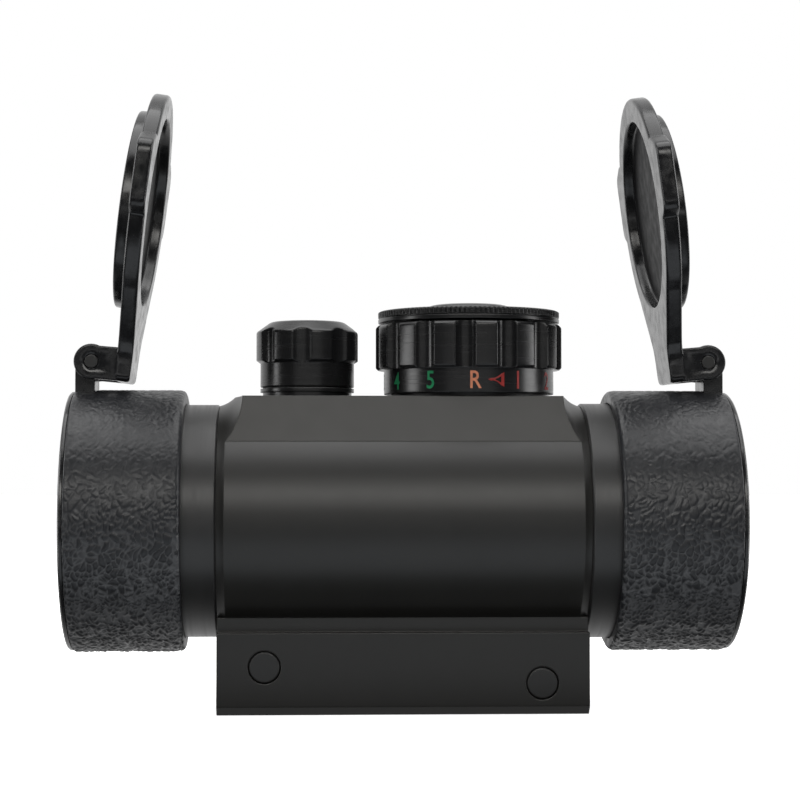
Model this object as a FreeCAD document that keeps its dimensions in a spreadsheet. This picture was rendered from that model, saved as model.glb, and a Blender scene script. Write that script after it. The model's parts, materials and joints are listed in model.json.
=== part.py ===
"""Tube red dot sight with a rail clamp and two flip-up lens covers.

Frame: the origin is the centre of the rail seat, the flat that rests on top of the rail. +X runs along the
optical axis towards the eye, +Z is up, and +Y is the side with the windage turret and the moving jaw.
Lengths are in millimetres.
"""
import FreeCAD, Part
import math
import os
import Sketcher

# Driving dimensions: alias, value. Heights in the turrets are measured from the tube's axis.
SIZES = {
    # tube housing
    "axis_height": 28.6, "housing_radius": 22.0, "housing_half": 33.6, "bore_radius": 18.6,
    "saddle_top": 22.9, "saddle_top_half": 14.5, "saddle_foot_half": 16.5, "saddle_foot_height": 14.6,
    "saddle_end_low": 21.4, "saddle_end_high": 27.4, "saddle_end_run": 4.5, "saddle_end_radius": 6.0,
    "spigot_radius": 20.35, "counterbore_radius": 20.4, "counterbore_depth": 8.0,
    "turret_hole_floor": 10.0,
    # rail block and clamp
    "block_half": 16.0, "block_drop": 6.0, "block_top": 8.8, "block_chamfer": 1.6, "waist_half": 13.7,
    "waist_top": 11.4, "seat_half": 7.95, "groove_half": 10.7, "groove_high": 2.75, "groove_low": 3.4,
    "lip_half": 8.1, "far_face": 9.4, "plate_gap": 0.3, "bolt_offset": 25.0, "front_bolt_height": 2.7,
    "rear_bolt_height": -0.3, "bolt_radius": 2.5, "bolt_head_radius": 3.0, "bolt_head_depth": 3.0,
    "bolt_end": 24.6, "bolt_play": 0.1, "bolt_head_chamfer": 0.35, "bolt_end_chamfer": 0.5,
    "nut_radius": 5.5, "nut_thickness": 6.0, "nut_flute": 0.9, "nut_flute_count": 10,
    "nut_flute_out": 0.36,
    "nut_chamfer": 0.5, "nut_play": 0.02, "plate_drop": 0.4, "plate_chamfer": 1.0, "plate_short": 0.4,
    # necks and windows
    "neck_end": 57.0, "front_neck_radius": 21.6, "rear_neck_radius": 21.9, "bell_bore": 18.0,
    "spigot_gap": 0.4, "mouth_bore": 19.8, "window_seat": 51.0, "window_thickness": 2.5,
    "window_radius": 19.75,
    "window_ring_bore": 18.6, "window_ring_width": 2.3, "bell_chamfer": 0.35, "seal_section": 0.55,
    "seal_place": 31.8,
    # flip-up covers
    "cover_end": 61.2, "front_cover_start": 39.8, "rear_cover_start": 38.8, "cover_radius": 24.35,
    "cover_round": 1.4, "neck_play": 0.1, "ring_start": 50.0, "ring_radius": 23.3, "lip_radius": 24.0,
    "lip_width": 0.8, "mouth_radius": 19.5, "pivot_out": 57.0, "pivot_height": 29.4, "ear_radius": 3.25,
    "ear_inner": 4.65, "ear_outer": 7.25, "post_half": 4.3, "post_outer": 3.25, "post_inner": 0.4,
    "knuckle_radius": 3.0, "slot_half": 2.3, "slot_floor": 3.0, "pin_radius": 1.2, "pin_play": 0.05,
    "lid_inner": 4.5, "lid_outer": 7.4, "lid_radius": 22.0, "strap_top": 2.9, "strap_shoulder": 3.0,
    "lid_recess_radius": 17.6, "lid_recess": 2.1, "plug_outer": 18.6, "plug_inner": 17.2,
    "plug_depth": 2.2,
    "tab_length": 11.5, "tab_offset": 4.1, "tab_reach": 24.6, "tab_shoulder": 2.2,
    "lip_chamfer": 0.3, "ring_gap": 0.2, "sleeve_end_chamfer": 0.5, "notch_play": 0.2, "ear_root": 0.5,
    "tab_foot": 19.8, "spring_play": 0.2, "open_angle": 187.6, "spring_radius": 1.85,
    "spring_wire": 0.3, "spring_turns": 5.0,
    # optical tube and its pivot
    "tube_radius": 17.3, "tube_bore": 15.8, "tube_front": 25.0, "tube_rear": 24.0, "gimbal_place": 20.0,
    "gimbal_half": 2.5, "gimbal_inner": 17.5, "gimbal_outer": 18.4, "pivot_pin_radius": 0.7,
    "pitch_pin_out": 20.4, "pitch_pin_gap": 0.15, "lens_radius": 16.4, "lens_depth": 4.0,
    "lens_curve": 62.0, "lens_ring_width": 1.4,
    "emitter_radius": 1.5, "emitter_nose": 0.6, "emitter_nose_radius": 0.7, "emitter_length": 4.5,
    "holder_size": 5.0, "holder_length": 8.0, "holder_wing": 4.5, "holder_drop": 1.6, "shoe_height": 1.95,
    "entry_depth": 3.0, "lead_radius": 0.25, "lead_spread": 0.7, "lead_rise": 1.5,
    "leaf_reach": 11.0, "leaf_width": 3.0, "leaf_thickness": 0.25, "leaf_tube_gap": 0.95,
    "leaf_bore_gap": 0.2, "leaf_offset": 4.0,
    # turrets
    "turret_offset": 17.4, "seat_flange": 8.75, "seat_spigot": 5.55, "seat_bottom": 18.9,
    "seat_base": 8.3,
    "flange_bottom": 23.9, "flange_top": 24.6, "gasket_top": 24.8, "collar_radius": 6.6,
    "collar_top": 30.0, "drum_radius": 4.9, "drum_floor": 24.6,
    "drum_top": 29.0, "washer_top": 25.0, "stem_radius": 1.3, "plunger_radius": 2.45, "plunger_tip": 17.6,
    "plunger_top": 23.0, "boss_radius": 10.6, "turret_cap_bottom": 24.85, "turret_cap_collar": 29.3,
    "turret_cap_radius": 9.55, "turret_cap_shoulder": 35.1, "turret_cap_top": 37.1,
    "turret_cap_crown": 6.8,
    "turret_flute": 2.9, "turret_flute_depth": 0.8, "turret_flute_count": 8, "turret_flute_turn": -5.4,
    "turret_cap_wall": 1.5, "turret_cap_dome": 0.3, "turret_cap_step": 0.5, "stem_gap": 2.4,
    "drum_chamfer": 0.4, "screw_slot_half": 0.6, "screw_slot_reach": 6.0, "screw_slot_depth": 1.3,
    "plunger_chamfer": 0.7,
    "plunger_floor": 1.6, "washer_play": 0.9, "washer_inset": 0.3,
    # brightness dial
    "dial_offset": 12.9, "dial_pocket": 12.0, "pocket_floor": 20.4, "core_flange": 14.4,
    "core_barrel": 11.3,
    "core_top": 36.2, "cup_radius": 10.2, "cup_floor": 31.0, "board_bottom": 23.65, "board_top": 24.5,
    "dial_bottom": 23.55, "skirt_radius": 15.9, "skirt_top": 28.1, "dial_radius": 17.45, "dial_top": 36.6,
    "dial_bore": 11.4, "dial_cavity": 14.7, "dial_ceiling": 27.0, "dial_flute": 2.05,
    "dial_flute_depth": 1.5,
    "dial_flute_count": 14, "dial_flute_turn": -6.0, "keeper_radius": 13.0,
    "detent_height": 29.0, "detent_radius": 0.9,
    "detent_count": 12, "battery_radius": 10.0, "battery_bottom": 31.75, "battery_top": 34.95,
    "battery_cap_bottom": 36.9, "battery_cap_radius": 17.0, "battery_cap_edge": 39.1,
    "battery_cap_top": 40.5,
    "battery_cap_disc": 8.2, "coin_slot_half": 6.0, "coin_slot_width": 1.5, "coin_slot_depth": 1.2,
    "battery_spigot": 10.1, "lead_hole": 1.5, "core_bore": 9.0, "core_lead_hole": 1.2, "detent_seat": 4.0,
    "detent_wire": 0.15, "detent_play": 0.03, "detent_groove": 0.8, "detent_groove_inset": 0.3,
    "contact_inner": 2.0,
    "contact_outer": 6.0, "contact_thickness": 0.25, "contact_gap": 0.35, "wiper_inset": 0.6,
    "wiper_margin": 0.4, "wiper_thickness": 0.3, "keeper_thickness": 0.45, "dial_low_chamfer": 0.4,
    "dial_high_chamfer": 0.6, "cap_edge_chamfer": 0.3, "cap_disc_chamfer": 0.5,
    # clearances between neighbours
    "close_fit": 0.05, "free_fit": 0.1,
}


class Size:
    """A length that knows its number and the sheet expression that gives it."""

    def __init__(self, value, text):
        self.value = value
        self.text = text

    def __add__(self, other):
        other = as_size(other)
        return Size(self.value + other.value, f"({self.text} + {other.text})")

    def __sub__(self, other):
        other = as_size(other)
        return Size(self.value - other.value, f"({self.text} - {other.text})")

    def __mul__(self, factor):
        factor = as_size(factor)
        return Size(self.value * factor.value, f"({self.text} * {factor.text})")

    def __neg__(self):
        return self * -1

    __radd__ = __add__
    __rmul__ = __mul__


def as_size(number):
    return number if isinstance(number, Size) else Size(float(number), repr(float(number)))


doc = FreeCAD.newDocument("red_dot_sight")
sheet = doc.addObject("Spreadsheet::Sheet", "dims")
for row, (alias, number) in enumerate(SIZES.items(), start=1):
    sheet.set(f"A{row}", alias)
    sheet.set(f"B{row}", repr(number))
    sheet.setAlias(f"B{row}", alias)
doc.recompute()
nodes = {}


def d(alias):
    """The driving dimension of this name."""
    return Size(SIZES[alias], f"dims.{alias}")


def bind(target, prop, size):
    target.setExpression(prop, as_size(size).text)


def keep(piece, label, placement=None):
    """Register a finished piece under the name of its node."""
    piece.Label = label
    if placement is not None:
        piece.Placement = placement
    nodes[label] = piece
    return piece


# ---------------------------------------------------------------- placements
def at(x=0.0, y=0.0, z=0.0, axis=(0, 0, 1), angle=0.0):
    rotation = FreeCAD.Rotation(FreeCAD.Vector(*axis), angle)
    return FreeCAD.Placement(FreeCAD.Vector(x, y, z), rotation)


ON_AXIS = at(z=SIZES["axis_height"])
END = {"rear": ON_AXIS, "front": at(z=SIZES["axis_height"], angle=180)}
TURRET = {
    "elevation": at(x=-SIZES["turret_offset"], z=SIZES["axis_height"]),
    "windage": at(x=-SIZES["turret_offset"], z=SIZES["axis_height"], axis=(1, 0, 0), angle=-90),
}
DIAL = at(x=SIZES["dial_offset"], z=SIZES["axis_height"])


# ---------------------------------------------------------------- sketches and features
def new_body(label, placement=None):
    return keep(doc.addObject("PartDesign::Body", "Body"), label, placement)


def origin_part(body, role):
    return next(part for part in body.Origin.OriginFeatures if part.Role == role)


def fix_coordinate(sketch, kind, index, vertex, size):
    """Hold one coordinate of a sketch point at a size from the sheet, or on the axis when it is zero."""
    axis = {"DistanceX": -2, "DistanceY": -1}[kind]
    if abs(size.value) < 1e-9:
        sketch.addConstraint(Sketcher.Constraint("PointOnObject", index, vertex, axis))
        return
    number = sketch.addConstraint(Sketcher.Constraint(kind, -1, 1, index, vertex, size.value))
    bind(sketch, f"Constraints[{number}]", size)


def draw_outline(sketch, points, arc_after=None, arc_radius=None):
    """A closed outline through the points. The side after point arc_after is an arc bulging to its right."""
    points = [(as_size(u), as_size(v)) for u, v in points]
    vectors = [FreeCAD.Vector(u.value, v.value, 0) for u, v in points]
    first = sketch.GeometryCount
    for index, start in enumerate(vectors):
        end = vectors[(index + 1) % len(vectors)]
        if index == arc_after:
            sketch.addGeometry(bulging_arc(start, end, arc_radius.value), False)
        else:
            sketch.addGeometry(Part.LineSegment(start, end), False)
    for index in range(len(points)):
        following = first + (index + 1) % len(points)
        sketch.addConstraint(Sketcher.Constraint("Coincident", first + index, 2, following, 1))
    if arc_after is not None:
        number = sketch.addConstraint(Sketcher.Constraint("Radius", first + arc_after, arc_radius.value))
        bind(sketch, f"Constraints[{number}]", arc_radius)
    for index, (u, v) in enumerate(points):
        fix_coordinate(sketch, "DistanceX", first + index, 1, u)
        fix_coordinate(sketch, "DistanceY", first + index, 1, v)


def bulging_arc(start, end, radius):
    chord = end - start
    right = FreeCAD.Vector(chord.y, -chord.x, 0).normalize()
    rise = radius - math.sqrt(radius**2 - (chord.Length / 2) ** 2)
    return Part.Arc(start, (start + end) * 0.5 + right * rise, end)


def draw_circle(sketch, u, v, radius):
    u, v, radius = as_size(u), as_size(v), as_size(radius)
    circle = Part.Circle(FreeCAD.Vector(u.value, v.value, 0), FreeCAD.Vector(0, 0, 1), radius.value)
    index = sketch.addGeometry(circle, False)
    fix_coordinate(sketch, "DistanceX", index, 3, u)
    fix_coordinate(sketch, "DistanceY", index, 3, v)
    number = sketch.addConstraint(Sketcher.Constraint("Radius", index, radius.value))
    bind(sketch, f"Constraints[{number}]", radius)


def new_sketch(body, plane, outline=(), circles=(), offset=None, spin=None, arc_after=None, arc_radius=None):
    sketch = body.newObject("Sketcher::SketchObject", "Sketch")
    sketch.AttachmentSupport = [(origin_part(body, plane), "")]
    sketch.MapMode = "FlatFace"
    if offset is not None:
        bind(sketch, "AttachmentOffset.Base.z", offset)
    if spin is not None:
        bind(sketch, "AttachmentOffset.Rotation.Angle", spin)
    if outline:
        draw_outline(sketch, outline, arc_after, arc_radius)
    for circle in circles:
        draw_circle(sketch, *circle)
    return sketch


def extrude(body, kind, sketch, length, symmetric=False, backwards=False):
    feature = body.newObject(f"PartDesign::{kind}", kind)
    feature.Profile = sketch
    feature.SideType = "Symmetric" if symmetric else "One side"
    feature.Reversed = backwards
    bind(feature, "Length", length)
    return finish(body, feature, kind == "Pocket")


def turn(body, kind, outline, axis, **shape):
    """Revolve (or groove) an outline drawn on XZ about the body's X axis ("H") or Z axis ("V")."""
    sketch = new_sketch(body, "XZ_Plane", outline, **shape)
    feature = body.newObject(f"PartDesign::{kind}", kind)
    feature.Profile = sketch
    feature.ReferenceAxis = (sketch, [f"{axis}_Axis"])
    feature.Angle = 360
    return finish(body, feature, kind == "Groove")


def finish(body, feature, cuts):
    """Recompute, and make sure that a cutting feature really took something away."""
    doc.recompute()
    base = feature.BaseFeature
    if cuts and not feature.Shape.Volume < base.Shape.Volume - 1e-6:
        raise RuntimeError(f"{body.Label}: {feature.Name} cuts nothing")
    return feature


def around(body, feature, axis, count):
    """Repeat a feature evenly about one of the body's axes."""
    pattern = body.newObject("PartDesign::PolarPattern", "PolarPattern")
    pattern.Originals = [feature]
    pattern.Axis = (origin_part(body, axis), [""])
    pattern.Angle = 360
    bind(pattern, "Occurrences", count)
    body.Tip = pattern
    return finish(body, pattern, False)


def ring(label, placement, axis, inner, outer, low, high):
    """A plain ring (or disc, when inner is 0) about the body's X axis ("H") or Z axis ("V")."""
    body = new_body(label, placement)
    corners = [(low, inner), (high, inner), (high, outer), (low, outer)]
    if axis == "V":
        corners = [(v, u) for u, v in corners]
    turn(body, "Revolution", corners, axis)
    return body


# ---------------------------------------------------------------- housing
def housing_block_outline():
    """Section of the rail block: near jaw with its groove, the seat, and the face opposite the plate."""
    chamfer = d("block_chamfer")
    return [
        (-d("waist_half"), d("waist_top")), (-d("waist_half"), d("block_top")),
        (-d("block_half"), d("block_top")),
        (-d("block_half"), chamfer - d("block_drop")), (chamfer - d("block_half"), -d("block_drop")),
        (-d("lip_half"), -d("block_drop")), (-d("groove_half"), -d("groove_low")),
        (-d("groove_half"), -d("groove_high")), (-d("seat_half"), 0), (d("far_face"), 0),
        (d("far_face"), d("block_top")), (d("waist_half"), d("block_top")), (d("waist_half"), d("waist_top")),
    ]


def main_housing():
    body = new_body("main_housing")
    height = d("axis_height")
    length = d("housing_half") * 2
    tube = new_sketch(body, "YZ_Plane", circles=[(0, height, d("housing_radius"))])
    extrude(body, "Pad", tube, length, symmetric=True)
    foot = height + d("saddle_foot_height")
    top = height + d("saddle_top")
    saddle = [(-d("saddle_foot_half"), foot), (d("saddle_foot_half"), foot), (d("saddle_top_half"), top),
              (-d("saddle_top_half"), top)]
    extrude(body, "Pad", new_sketch(body, "YZ_Plane", saddle), length, symmetric=True)
    for end in (-1, 1):
        saddle_run_out(body, end, height)
    extrude(body, "Pad", new_sketch(body, "YZ_Plane", housing_block_outline()), length, symmetric=True)
    boss = new_sketch(body, "XZ_Plane", circles=[(-d("turret_offset"), height, d("boss_radius"))])
    extrude(body, "Pad", boss, d("saddle_top"), backwards=True)
    extrude(body, "Pocket", new_sketch(body, "YZ_Plane", circles=[(0, height, d("bore_radius"))]),
            length + 2, symmetric=True)
    for end in (-1, 1):
        mouth = new_sketch(body, "YZ_Plane", circles=[(0, height, d("counterbore_radius"))],
                           offset=d("housing_half") * end)
        extrude(body, "Pocket", mouth, d("counterbore_depth"), backwards=end < 0)
    housing_holes(body, height)


def saddle_run_out(body, end, height):
    """Turned cove that rounds the tube's end and runs the saddle out."""
    tool_low = height + d("saddle_end_low")
    tool_high = height + d("saddle_end_high")
    inner = (d("housing_half") - d("saddle_end_run")) * end
    face = (d("housing_half") + 1) * end
    corners = [(d("housing_half") * end, tool_low), (face, tool_low), (face, tool_high + 1),
               (inner, tool_high + 1), (inner, tool_high)]
    if end < 0:
        corners = corners[::-1]
    start = len(corners) - 1
    sketch = new_sketch(body, "XZ_Plane", corners, arc_after=start, arc_radius=d("saddle_end_radius"))
    line = sketch.addGeometry(Part.LineSegment(FreeCAD.Vector(-1, height.value, 0),
                                               FreeCAD.Vector(1, height.value, 0)), True)
    for vertex, side in ((1, -1), (2, 1)):
        fix_coordinate(sketch, "DistanceX", line, vertex, as_size(side))
        fix_coordinate(sketch, "DistanceY", line, vertex, height)
    groove = body.newObject("PartDesign::Groove", "Groove")
    groove.Profile = sketch
    groove.ReferenceAxis = (sketch, ["Axis0"])
    groove.Angle = 360
    finish(body, groove, True)


def housing_holes(body, height):
    """Turret holes, dial pocket, lead hole, cross-bolt holes and the pitch pin holes."""
    top = height + d("saddle_top")
    elevation = new_sketch(body, "XY_Plane", circles=[(-d("turret_offset"), 0, d("seat_spigot"))], offset=top)
    extrude(body, "Pocket", elevation, d("saddle_top") - d("turret_hole_floor"))
    windage = new_sketch(body, "XZ_Plane", circles=[(-d("turret_offset"), height, d("seat_spigot"))],
                         offset=-d("saddle_top"))
    extrude(body, "Pocket", windage, d("saddle_top") - d("turret_hole_floor"), backwards=True)
    pocket = new_sketch(body, "XY_Plane", circles=[(d("dial_offset"), 0, d("dial_pocket"))], offset=top)
    extrude(body, "Pocket", pocket, d("saddle_top") - d("pocket_floor"))
    lead = new_sketch(body, "XY_Plane", circles=[(d("dial_offset"), 0, d("lead_hole"))], offset=top)
    extrude(body, "Pocket", lead, d("saddle_top") - d("turret_hole_floor"))
    for side, name in ((-1, "front_bolt_height"), (1, "rear_bolt_height")):
        place = (d("bolt_offset") * side, d(name))
        shank = new_sketch(body, "XZ_Plane", circles=[(*place, d("bolt_radius"))],
                           offset=-d("block_half") - 1)
        extrude(body, "Pocket", shank, d("block_half") * 2 + 2, backwards=True)
        head = new_sketch(body, "XZ_Plane", circles=[(*place, d("bolt_head_radius"))], offset=d("block_half"))
        extrude(body, "Pocket", head, d("bolt_head_depth"))
    pins = new_sketch(body, "XZ_Plane", circles=[(d("gimbal_place"), height, d("pivot_pin_radius"))])
    extrude(body, "Pocket", pins, d("pitch_pin_out") * 2, symmetric=True)


# ---------------------------------------------------------------- bells and windows
def end_optics(end):
    """The bell at one end with its seal, window and window retaining ring."""
    name = {"front": "objective", "rear": "eyepiece"}[end]
    neck = d(f"{end}_neck_radius")
    start = d("housing_half") - d("counterbore_depth") + d("spigot_gap")
    seat = d("housing_half")
    groove_low = d("seal_place") - d("seal_section")
    groove_high = d("seal_place") + d("seal_section")
    groove_floor = d("spigot_radius") - d("seal_section") * 2
    bell = new_body(f"{name}_bell", END[end])
    turn(bell, "Revolution", [
        (start, d("bell_bore")), (d("window_seat") - 1, d("bell_bore")),
        (d("window_seat"), d("window_ring_bore")),
        (d("window_seat"), d("mouth_bore")), (d("neck_end"), d("mouth_bore")), (d("neck_end"), neck),
        (seat + d("bell_chamfer"), neck), (seat, neck - d("bell_chamfer")), (seat, d("spigot_radius")),
        (groove_high, d("spigot_radius")), (groove_high, groove_floor), (groove_low, groove_floor),
        (groove_low, d("spigot_radius")), (start, d("spigot_radius")),
    ], "H")
    seal = keep(doc.addObject("Part::Torus", "Torus"), f"{name}_bell_o_ring")
    bind(seal, "Radius1", d("spigot_radius") - d("seal_section"))
    bind(seal, "Radius2", d("seal_section"))
    seal.Placement = END[end] * at(x=SIZES["seal_place"], axis=(0, 1, 0), angle=90)
    glass_end = d("window_seat") + d("window_thickness")
    ring(f"{name}_window", END[end], "H", 0, d("window_radius"), d("window_seat"), glass_end)
    ring(f"{name}_retaining_ring", END[end], "H", d("window_ring_bore"), d("mouth_bore"), glass_end,
         glass_end + d("window_ring_width"))


# ---------------------------------------------------------------- flip-up covers
def cover_ring(end):
    """Rigid ring over the neck's end, with the forked post that holds the hinge pin."""
    body = new_body(f"{end}_cover_ring", END[end])
    bore = d(f"{end}_neck_radius") + d("neck_play")
    lip = d("cover_end") - d("lip_width")
    stop = d("neck_end") + d("ring_gap")
    edge = d("lip_chamfer")
    turn(body, "Revolution", [
        (d("ring_start"), bore), (stop, bore), (stop, d("mouth_radius")),
        (d("cover_end"), d("mouth_radius")), (d("cover_end"), d("lip_radius") - edge),
        (d("cover_end") - edge, d("lip_radius")), (lip, d("lip_radius")), (lip, d("ring_radius")),
        (d("ring_start"), d("ring_radius")),
    ], "H")
    low = d("ring_radius") - 1
    inboard = d("pivot_out") - d("post_inner")
    outboard = d("pivot_out") + d("post_outer") - d("close_fit")
    web = [(inboard, low), (outboard, low), (outboard, d("pivot_height")), (inboard, d("pivot_height"))]
    extrude(body, "Pad", new_sketch(body, "XZ_Plane", web), d("post_half") * 2, symmetric=True)
    knuckle = [(d("pivot_out"), d("pivot_height"), d("knuckle_radius"))]
    extrude(body, "Pad", new_sketch(body, "XZ_Plane", circles=knuckle), d("post_half") * 2, symmetric=True)
    floor = d("pivot_height") - d("slot_floor")
    slot = [(-d("slot_half"), floor), (d("slot_half"), floor), (d("slot_half"), d("pivot_height") + 5),
            (-d("slot_half"), d("pivot_height") + 5)]
    slot_sketch = new_sketch(body, "YZ_Plane", slot, offset=d("pivot_out"))
    extrude(body, "Pocket", slot_sketch, d("ear_radius") * 4, symmetric=True)
    hole = [(d("pivot_out"), d("pivot_height"), d("pin_radius"))]
    extrude(body, "Pocket", new_sketch(body, "XZ_Plane", circles=hole), d("ear_outer") * 2, symmetric=True)


def cover_sleeve(end):
    """Soft sleeve gripping the neck and wrapping the rigid ring, notched for the hinge post."""
    body = new_body(f"{end}_cover_sleeve", END[end])
    start = d(f"{end}_cover_start")
    stop = d("cover_end") - d("lip_width") - d("close_fit")
    grip = d(f"{end}_neck_radius") + d("close_fit")
    over_ring = d("ring_radius") + d("close_fit")
    step = d("ring_start") - d("free_fit")
    edge = d("cover_round")
    chamfer = d("sleeve_end_chamfer")
    outline = [
        (start, grip), (step, grip), (step, over_ring), (stop, over_ring),
        (stop, d("cover_radius") - chamfer), (stop - chamfer, d("cover_radius")),
        (start + edge, d("cover_radius")),
        (start, d("cover_radius") - edge),
    ]
    turn(body, "Revolution", outline, "H", arc_after=6, arc_radius=edge)
    inboard = d("pivot_out") - d("post_inner") - d("notch_play")
    half = d("post_half") + d("notch_play")
    notch = [(inboard, -half), (d("cover_end"), -half), (d("cover_end"), half), (inboard, half)]
    sketch = new_sketch(body, "XY_Plane", notch, offset=d("cover_radius") + 2)
    extrude(body, "Pocket", sketch, d("cover_radius") - 10)


def lid(end):
    """Round lid drawn shut in a frame on its hinge axis, then swung open."""
    pivot = at(x=SIZES["pivot_out"], z=SIZES["pivot_height"])
    swing = at(axis=(0, 1, 0), angle=-SIZES["open_angle"])
    body = new_body(f"{end}_lid", END[end] * pivot * swing)
    centre = -d("pivot_height")
    thickness = d("lid_outer") - d("lid_inner")
    half = d("ear_outer")
    disc = new_sketch(body, "YZ_Plane", circles=[(0, centre, d("lid_radius"))], offset=d("lid_inner"))
    extrude(body, "Pad", disc, thickness)
    lean = math.sqrt(0.5)
    side = d("lid_radius") * lean
    shoulder = centre + side
    strap = [(-side, shoulder), (side, shoulder), (half, -d("strap_shoulder")), (half, d("strap_top")),
             (-half, d("strap_top")), (-half, -d("strap_shoulder"))]
    extrude(body, "Pad", new_sketch(body, "YZ_Plane", strap, offset=d("lid_inner")), thickness)
    lid_tabs(body, centre, thickness)
    recess = new_sketch(body, "YZ_Plane", circles=[(0, centre, d("lid_recess_radius"))],
                        offset=d("lid_outer"))
    extrude(body, "Pocket", recess, d("lid_recess"))
    plug = new_sketch(body, "YZ_Plane", circles=[(0, centre, d("plug_outer")), (0, centre, d("plug_inner"))],
                      offset=d("lid_inner") - d("plug_depth"))
    extrude(body, "Pad", plug, d("plug_depth"))
    root = d("lid_inner") + d("ear_root")
    arm = [(0, -d("ear_radius")), (root, -d("ear_radius")), (root, d("strap_top")), (0, d("strap_top"))]
    for place in (d("ear_outer"), -d("ear_inner")):
        width = d("ear_outer") - d("ear_inner")
        extrude(body, "Pad", new_sketch(body, "XZ_Plane", arm, offset=place), width, backwards=True)
        eye = new_sketch(body, "XZ_Plane", circles=[(0, 0, d("ear_radius"))], offset=place)
        extrude(body, "Pad", eye, width, backwards=True)
    hole = new_sketch(body, "XZ_Plane", circles=[(0, 0, d("pin_radius") + d("pin_play"))])
    extrude(body, "Pocket", hole, d("ear_outer") * 3, symmetric=True)


def lid_tabs(body, centre, thickness):
    """A thumb tab with sloping shoulders on each side of the lid."""
    middle = centre - d("tab_offset")
    reach = d("tab_length") * 0.5
    foot = d("tab_foot")
    corners = [(foot, middle - reach - d("tab_shoulder")), (d("tab_reach"), middle - reach),
               (d("tab_reach"), middle + reach), (foot, middle + reach + d("tab_shoulder"))]
    mirrored = [(-out, along) for out, along in reversed(corners)]
    sketch = new_sketch(body, "YZ_Plane", corners + mirrored, offset=d("lid_inner"))
    extrude(body, "Pad", sketch, thickness)


def lid_pin(end):
    pin = keep(doc.addObject("Part::Cylinder", "Cylinder"), f"{end}_hinge_pin")
    bind(pin, "Radius", d("pin_radius"))
    bind(pin, "Height", d("ear_outer") * 2)
    pivot = at(x=SIZES["pivot_out"], y=SIZES["ear_outer"], z=SIZES["pivot_height"], axis=(1, 0, 0), angle=90)
    pin.Placement = END[end] * pivot


def lid_spring(end):
    """Torsion spring coiled round the hinge pin, between the two lugs of the post."""
    radius = SIZES["spring_radius"]
    wire = SIZES["spring_wire"]
    width = SIZES["slot_half"] * 2 - wire * 2 - SIZES["spring_play"]
    helix = Part.makeHelix(width / SIZES["spring_turns"], width, radius)
    section = Part.Wire(Part.Circle(FreeCAD.Vector(radius, 0, 0), FreeCAD.Vector(0, 1, 0), wire).toShape())
    coil = Part.Wire(helix).makePipeShell([section], True, True)
    spring = doc.addObject("Part::Feature", "Spring")
    spring.Shape = coil
    across = at(x=SIZES["pivot_out"], y=width / 2, z=SIZES["pivot_height"], axis=(1, 0, 0), angle=90)
    keep(spring, f"{end}_lid_spring", END[end] * across)


def flip_up_cover(end):
    cover_ring(end)
    cover_sleeve(end)
    lid(end)
    lid_pin(end)
    lid_spring(end)


# ---------------------------------------------------------------- optical tube
def optical_tube():
    """Inner tube carrying the mirror lens and the emitter. It pitches and yaws in the gimbal ring."""
    body = new_body("optical_tube", ON_AXIS)
    pocket = d("lens_depth") + d("lens_ring_width")
    turn(body, "Revolution", [
        (-d("tube_front"), d("lens_radius")), (pocket - d("tube_front"), d("lens_radius")),
        (pocket - d("tube_front"), d("tube_bore")), (d("tube_rear"), d("tube_bore")),
        (d("tube_rear"), d("tube_radius")), (-d("tube_front"), d("tube_radius")),
    ], "H")
    hole = new_sketch(body, "XY_Plane", circles=[(d("dial_offset"), 0, d("lead_hole"))],
                      offset=d("tube_radius") + 1)
    extrude(body, "Pocket", hole, d("tube_radius") - 5)
    clearance = [(d("gimbal_place"), 0, d("pivot_pin_radius") + d("pin_play"))]
    pins = new_sketch(body, "XY_Plane", circles=clearance)
    extrude(body, "Pocket", pins, d("tube_radius") * 3, symmetric=True)


def gimbal():
    """Ring that pitches on two pins in the housing and carries two pins on which the tube yaws."""
    body = ring("gimbal_ring", ON_AXIS, "H", d("gimbal_inner"), d("gimbal_outer"),
                d("gimbal_place") - d("gimbal_half"), d("gimbal_place") + d("gimbal_half"))
    yaw = new_sketch(body, "XY_Plane", circles=[(d("gimbal_place"), 0, d("pivot_pin_radius"))])
    extrude(body, "Pocket", yaw, d("gimbal_outer") * 3, symmetric=True)
    pitch = [(d("gimbal_place"), 0, d("pivot_pin_radius") + d("pin_play"))]
    across = new_sketch(body, "XZ_Plane", circles=pitch)
    extrude(body, "Pocket", across, d("gimbal_outer") * 3, symmetric=True)
    pin_pair("pitch_pins", "XZ_Plane", d("gimbal_inner") + d("pitch_pin_gap"), d("pitch_pin_out"))
    pin_pair("yaw_pins", "XY_Plane", d("tube_bore") + d("free_fit"), d("gimbal_outer"))


def pin_pair(label, plane, inner, outer):
    body = doc.addObject("PartDesign::Body", "Body")
    sketch = new_sketch(body, plane, circles=[(d("gimbal_place"), 0, d("pivot_pin_radius"))], offset=inner)
    extrude(body, "Pad", sketch, outer - inner)
    opposite = doc.addObject("Part::Feature", "Opposite")
    opposite.Shape = body.Shape.rotated(FreeCAD.Vector(0, 0, 0), FreeCAD.Vector(1, 0, 0), 180)
    pair = doc.addObject("Part::Compound", "Pair")
    pair.Links = [body, opposite]
    keep(pair, label, ON_AXIS)
    doc.recompute()


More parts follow.
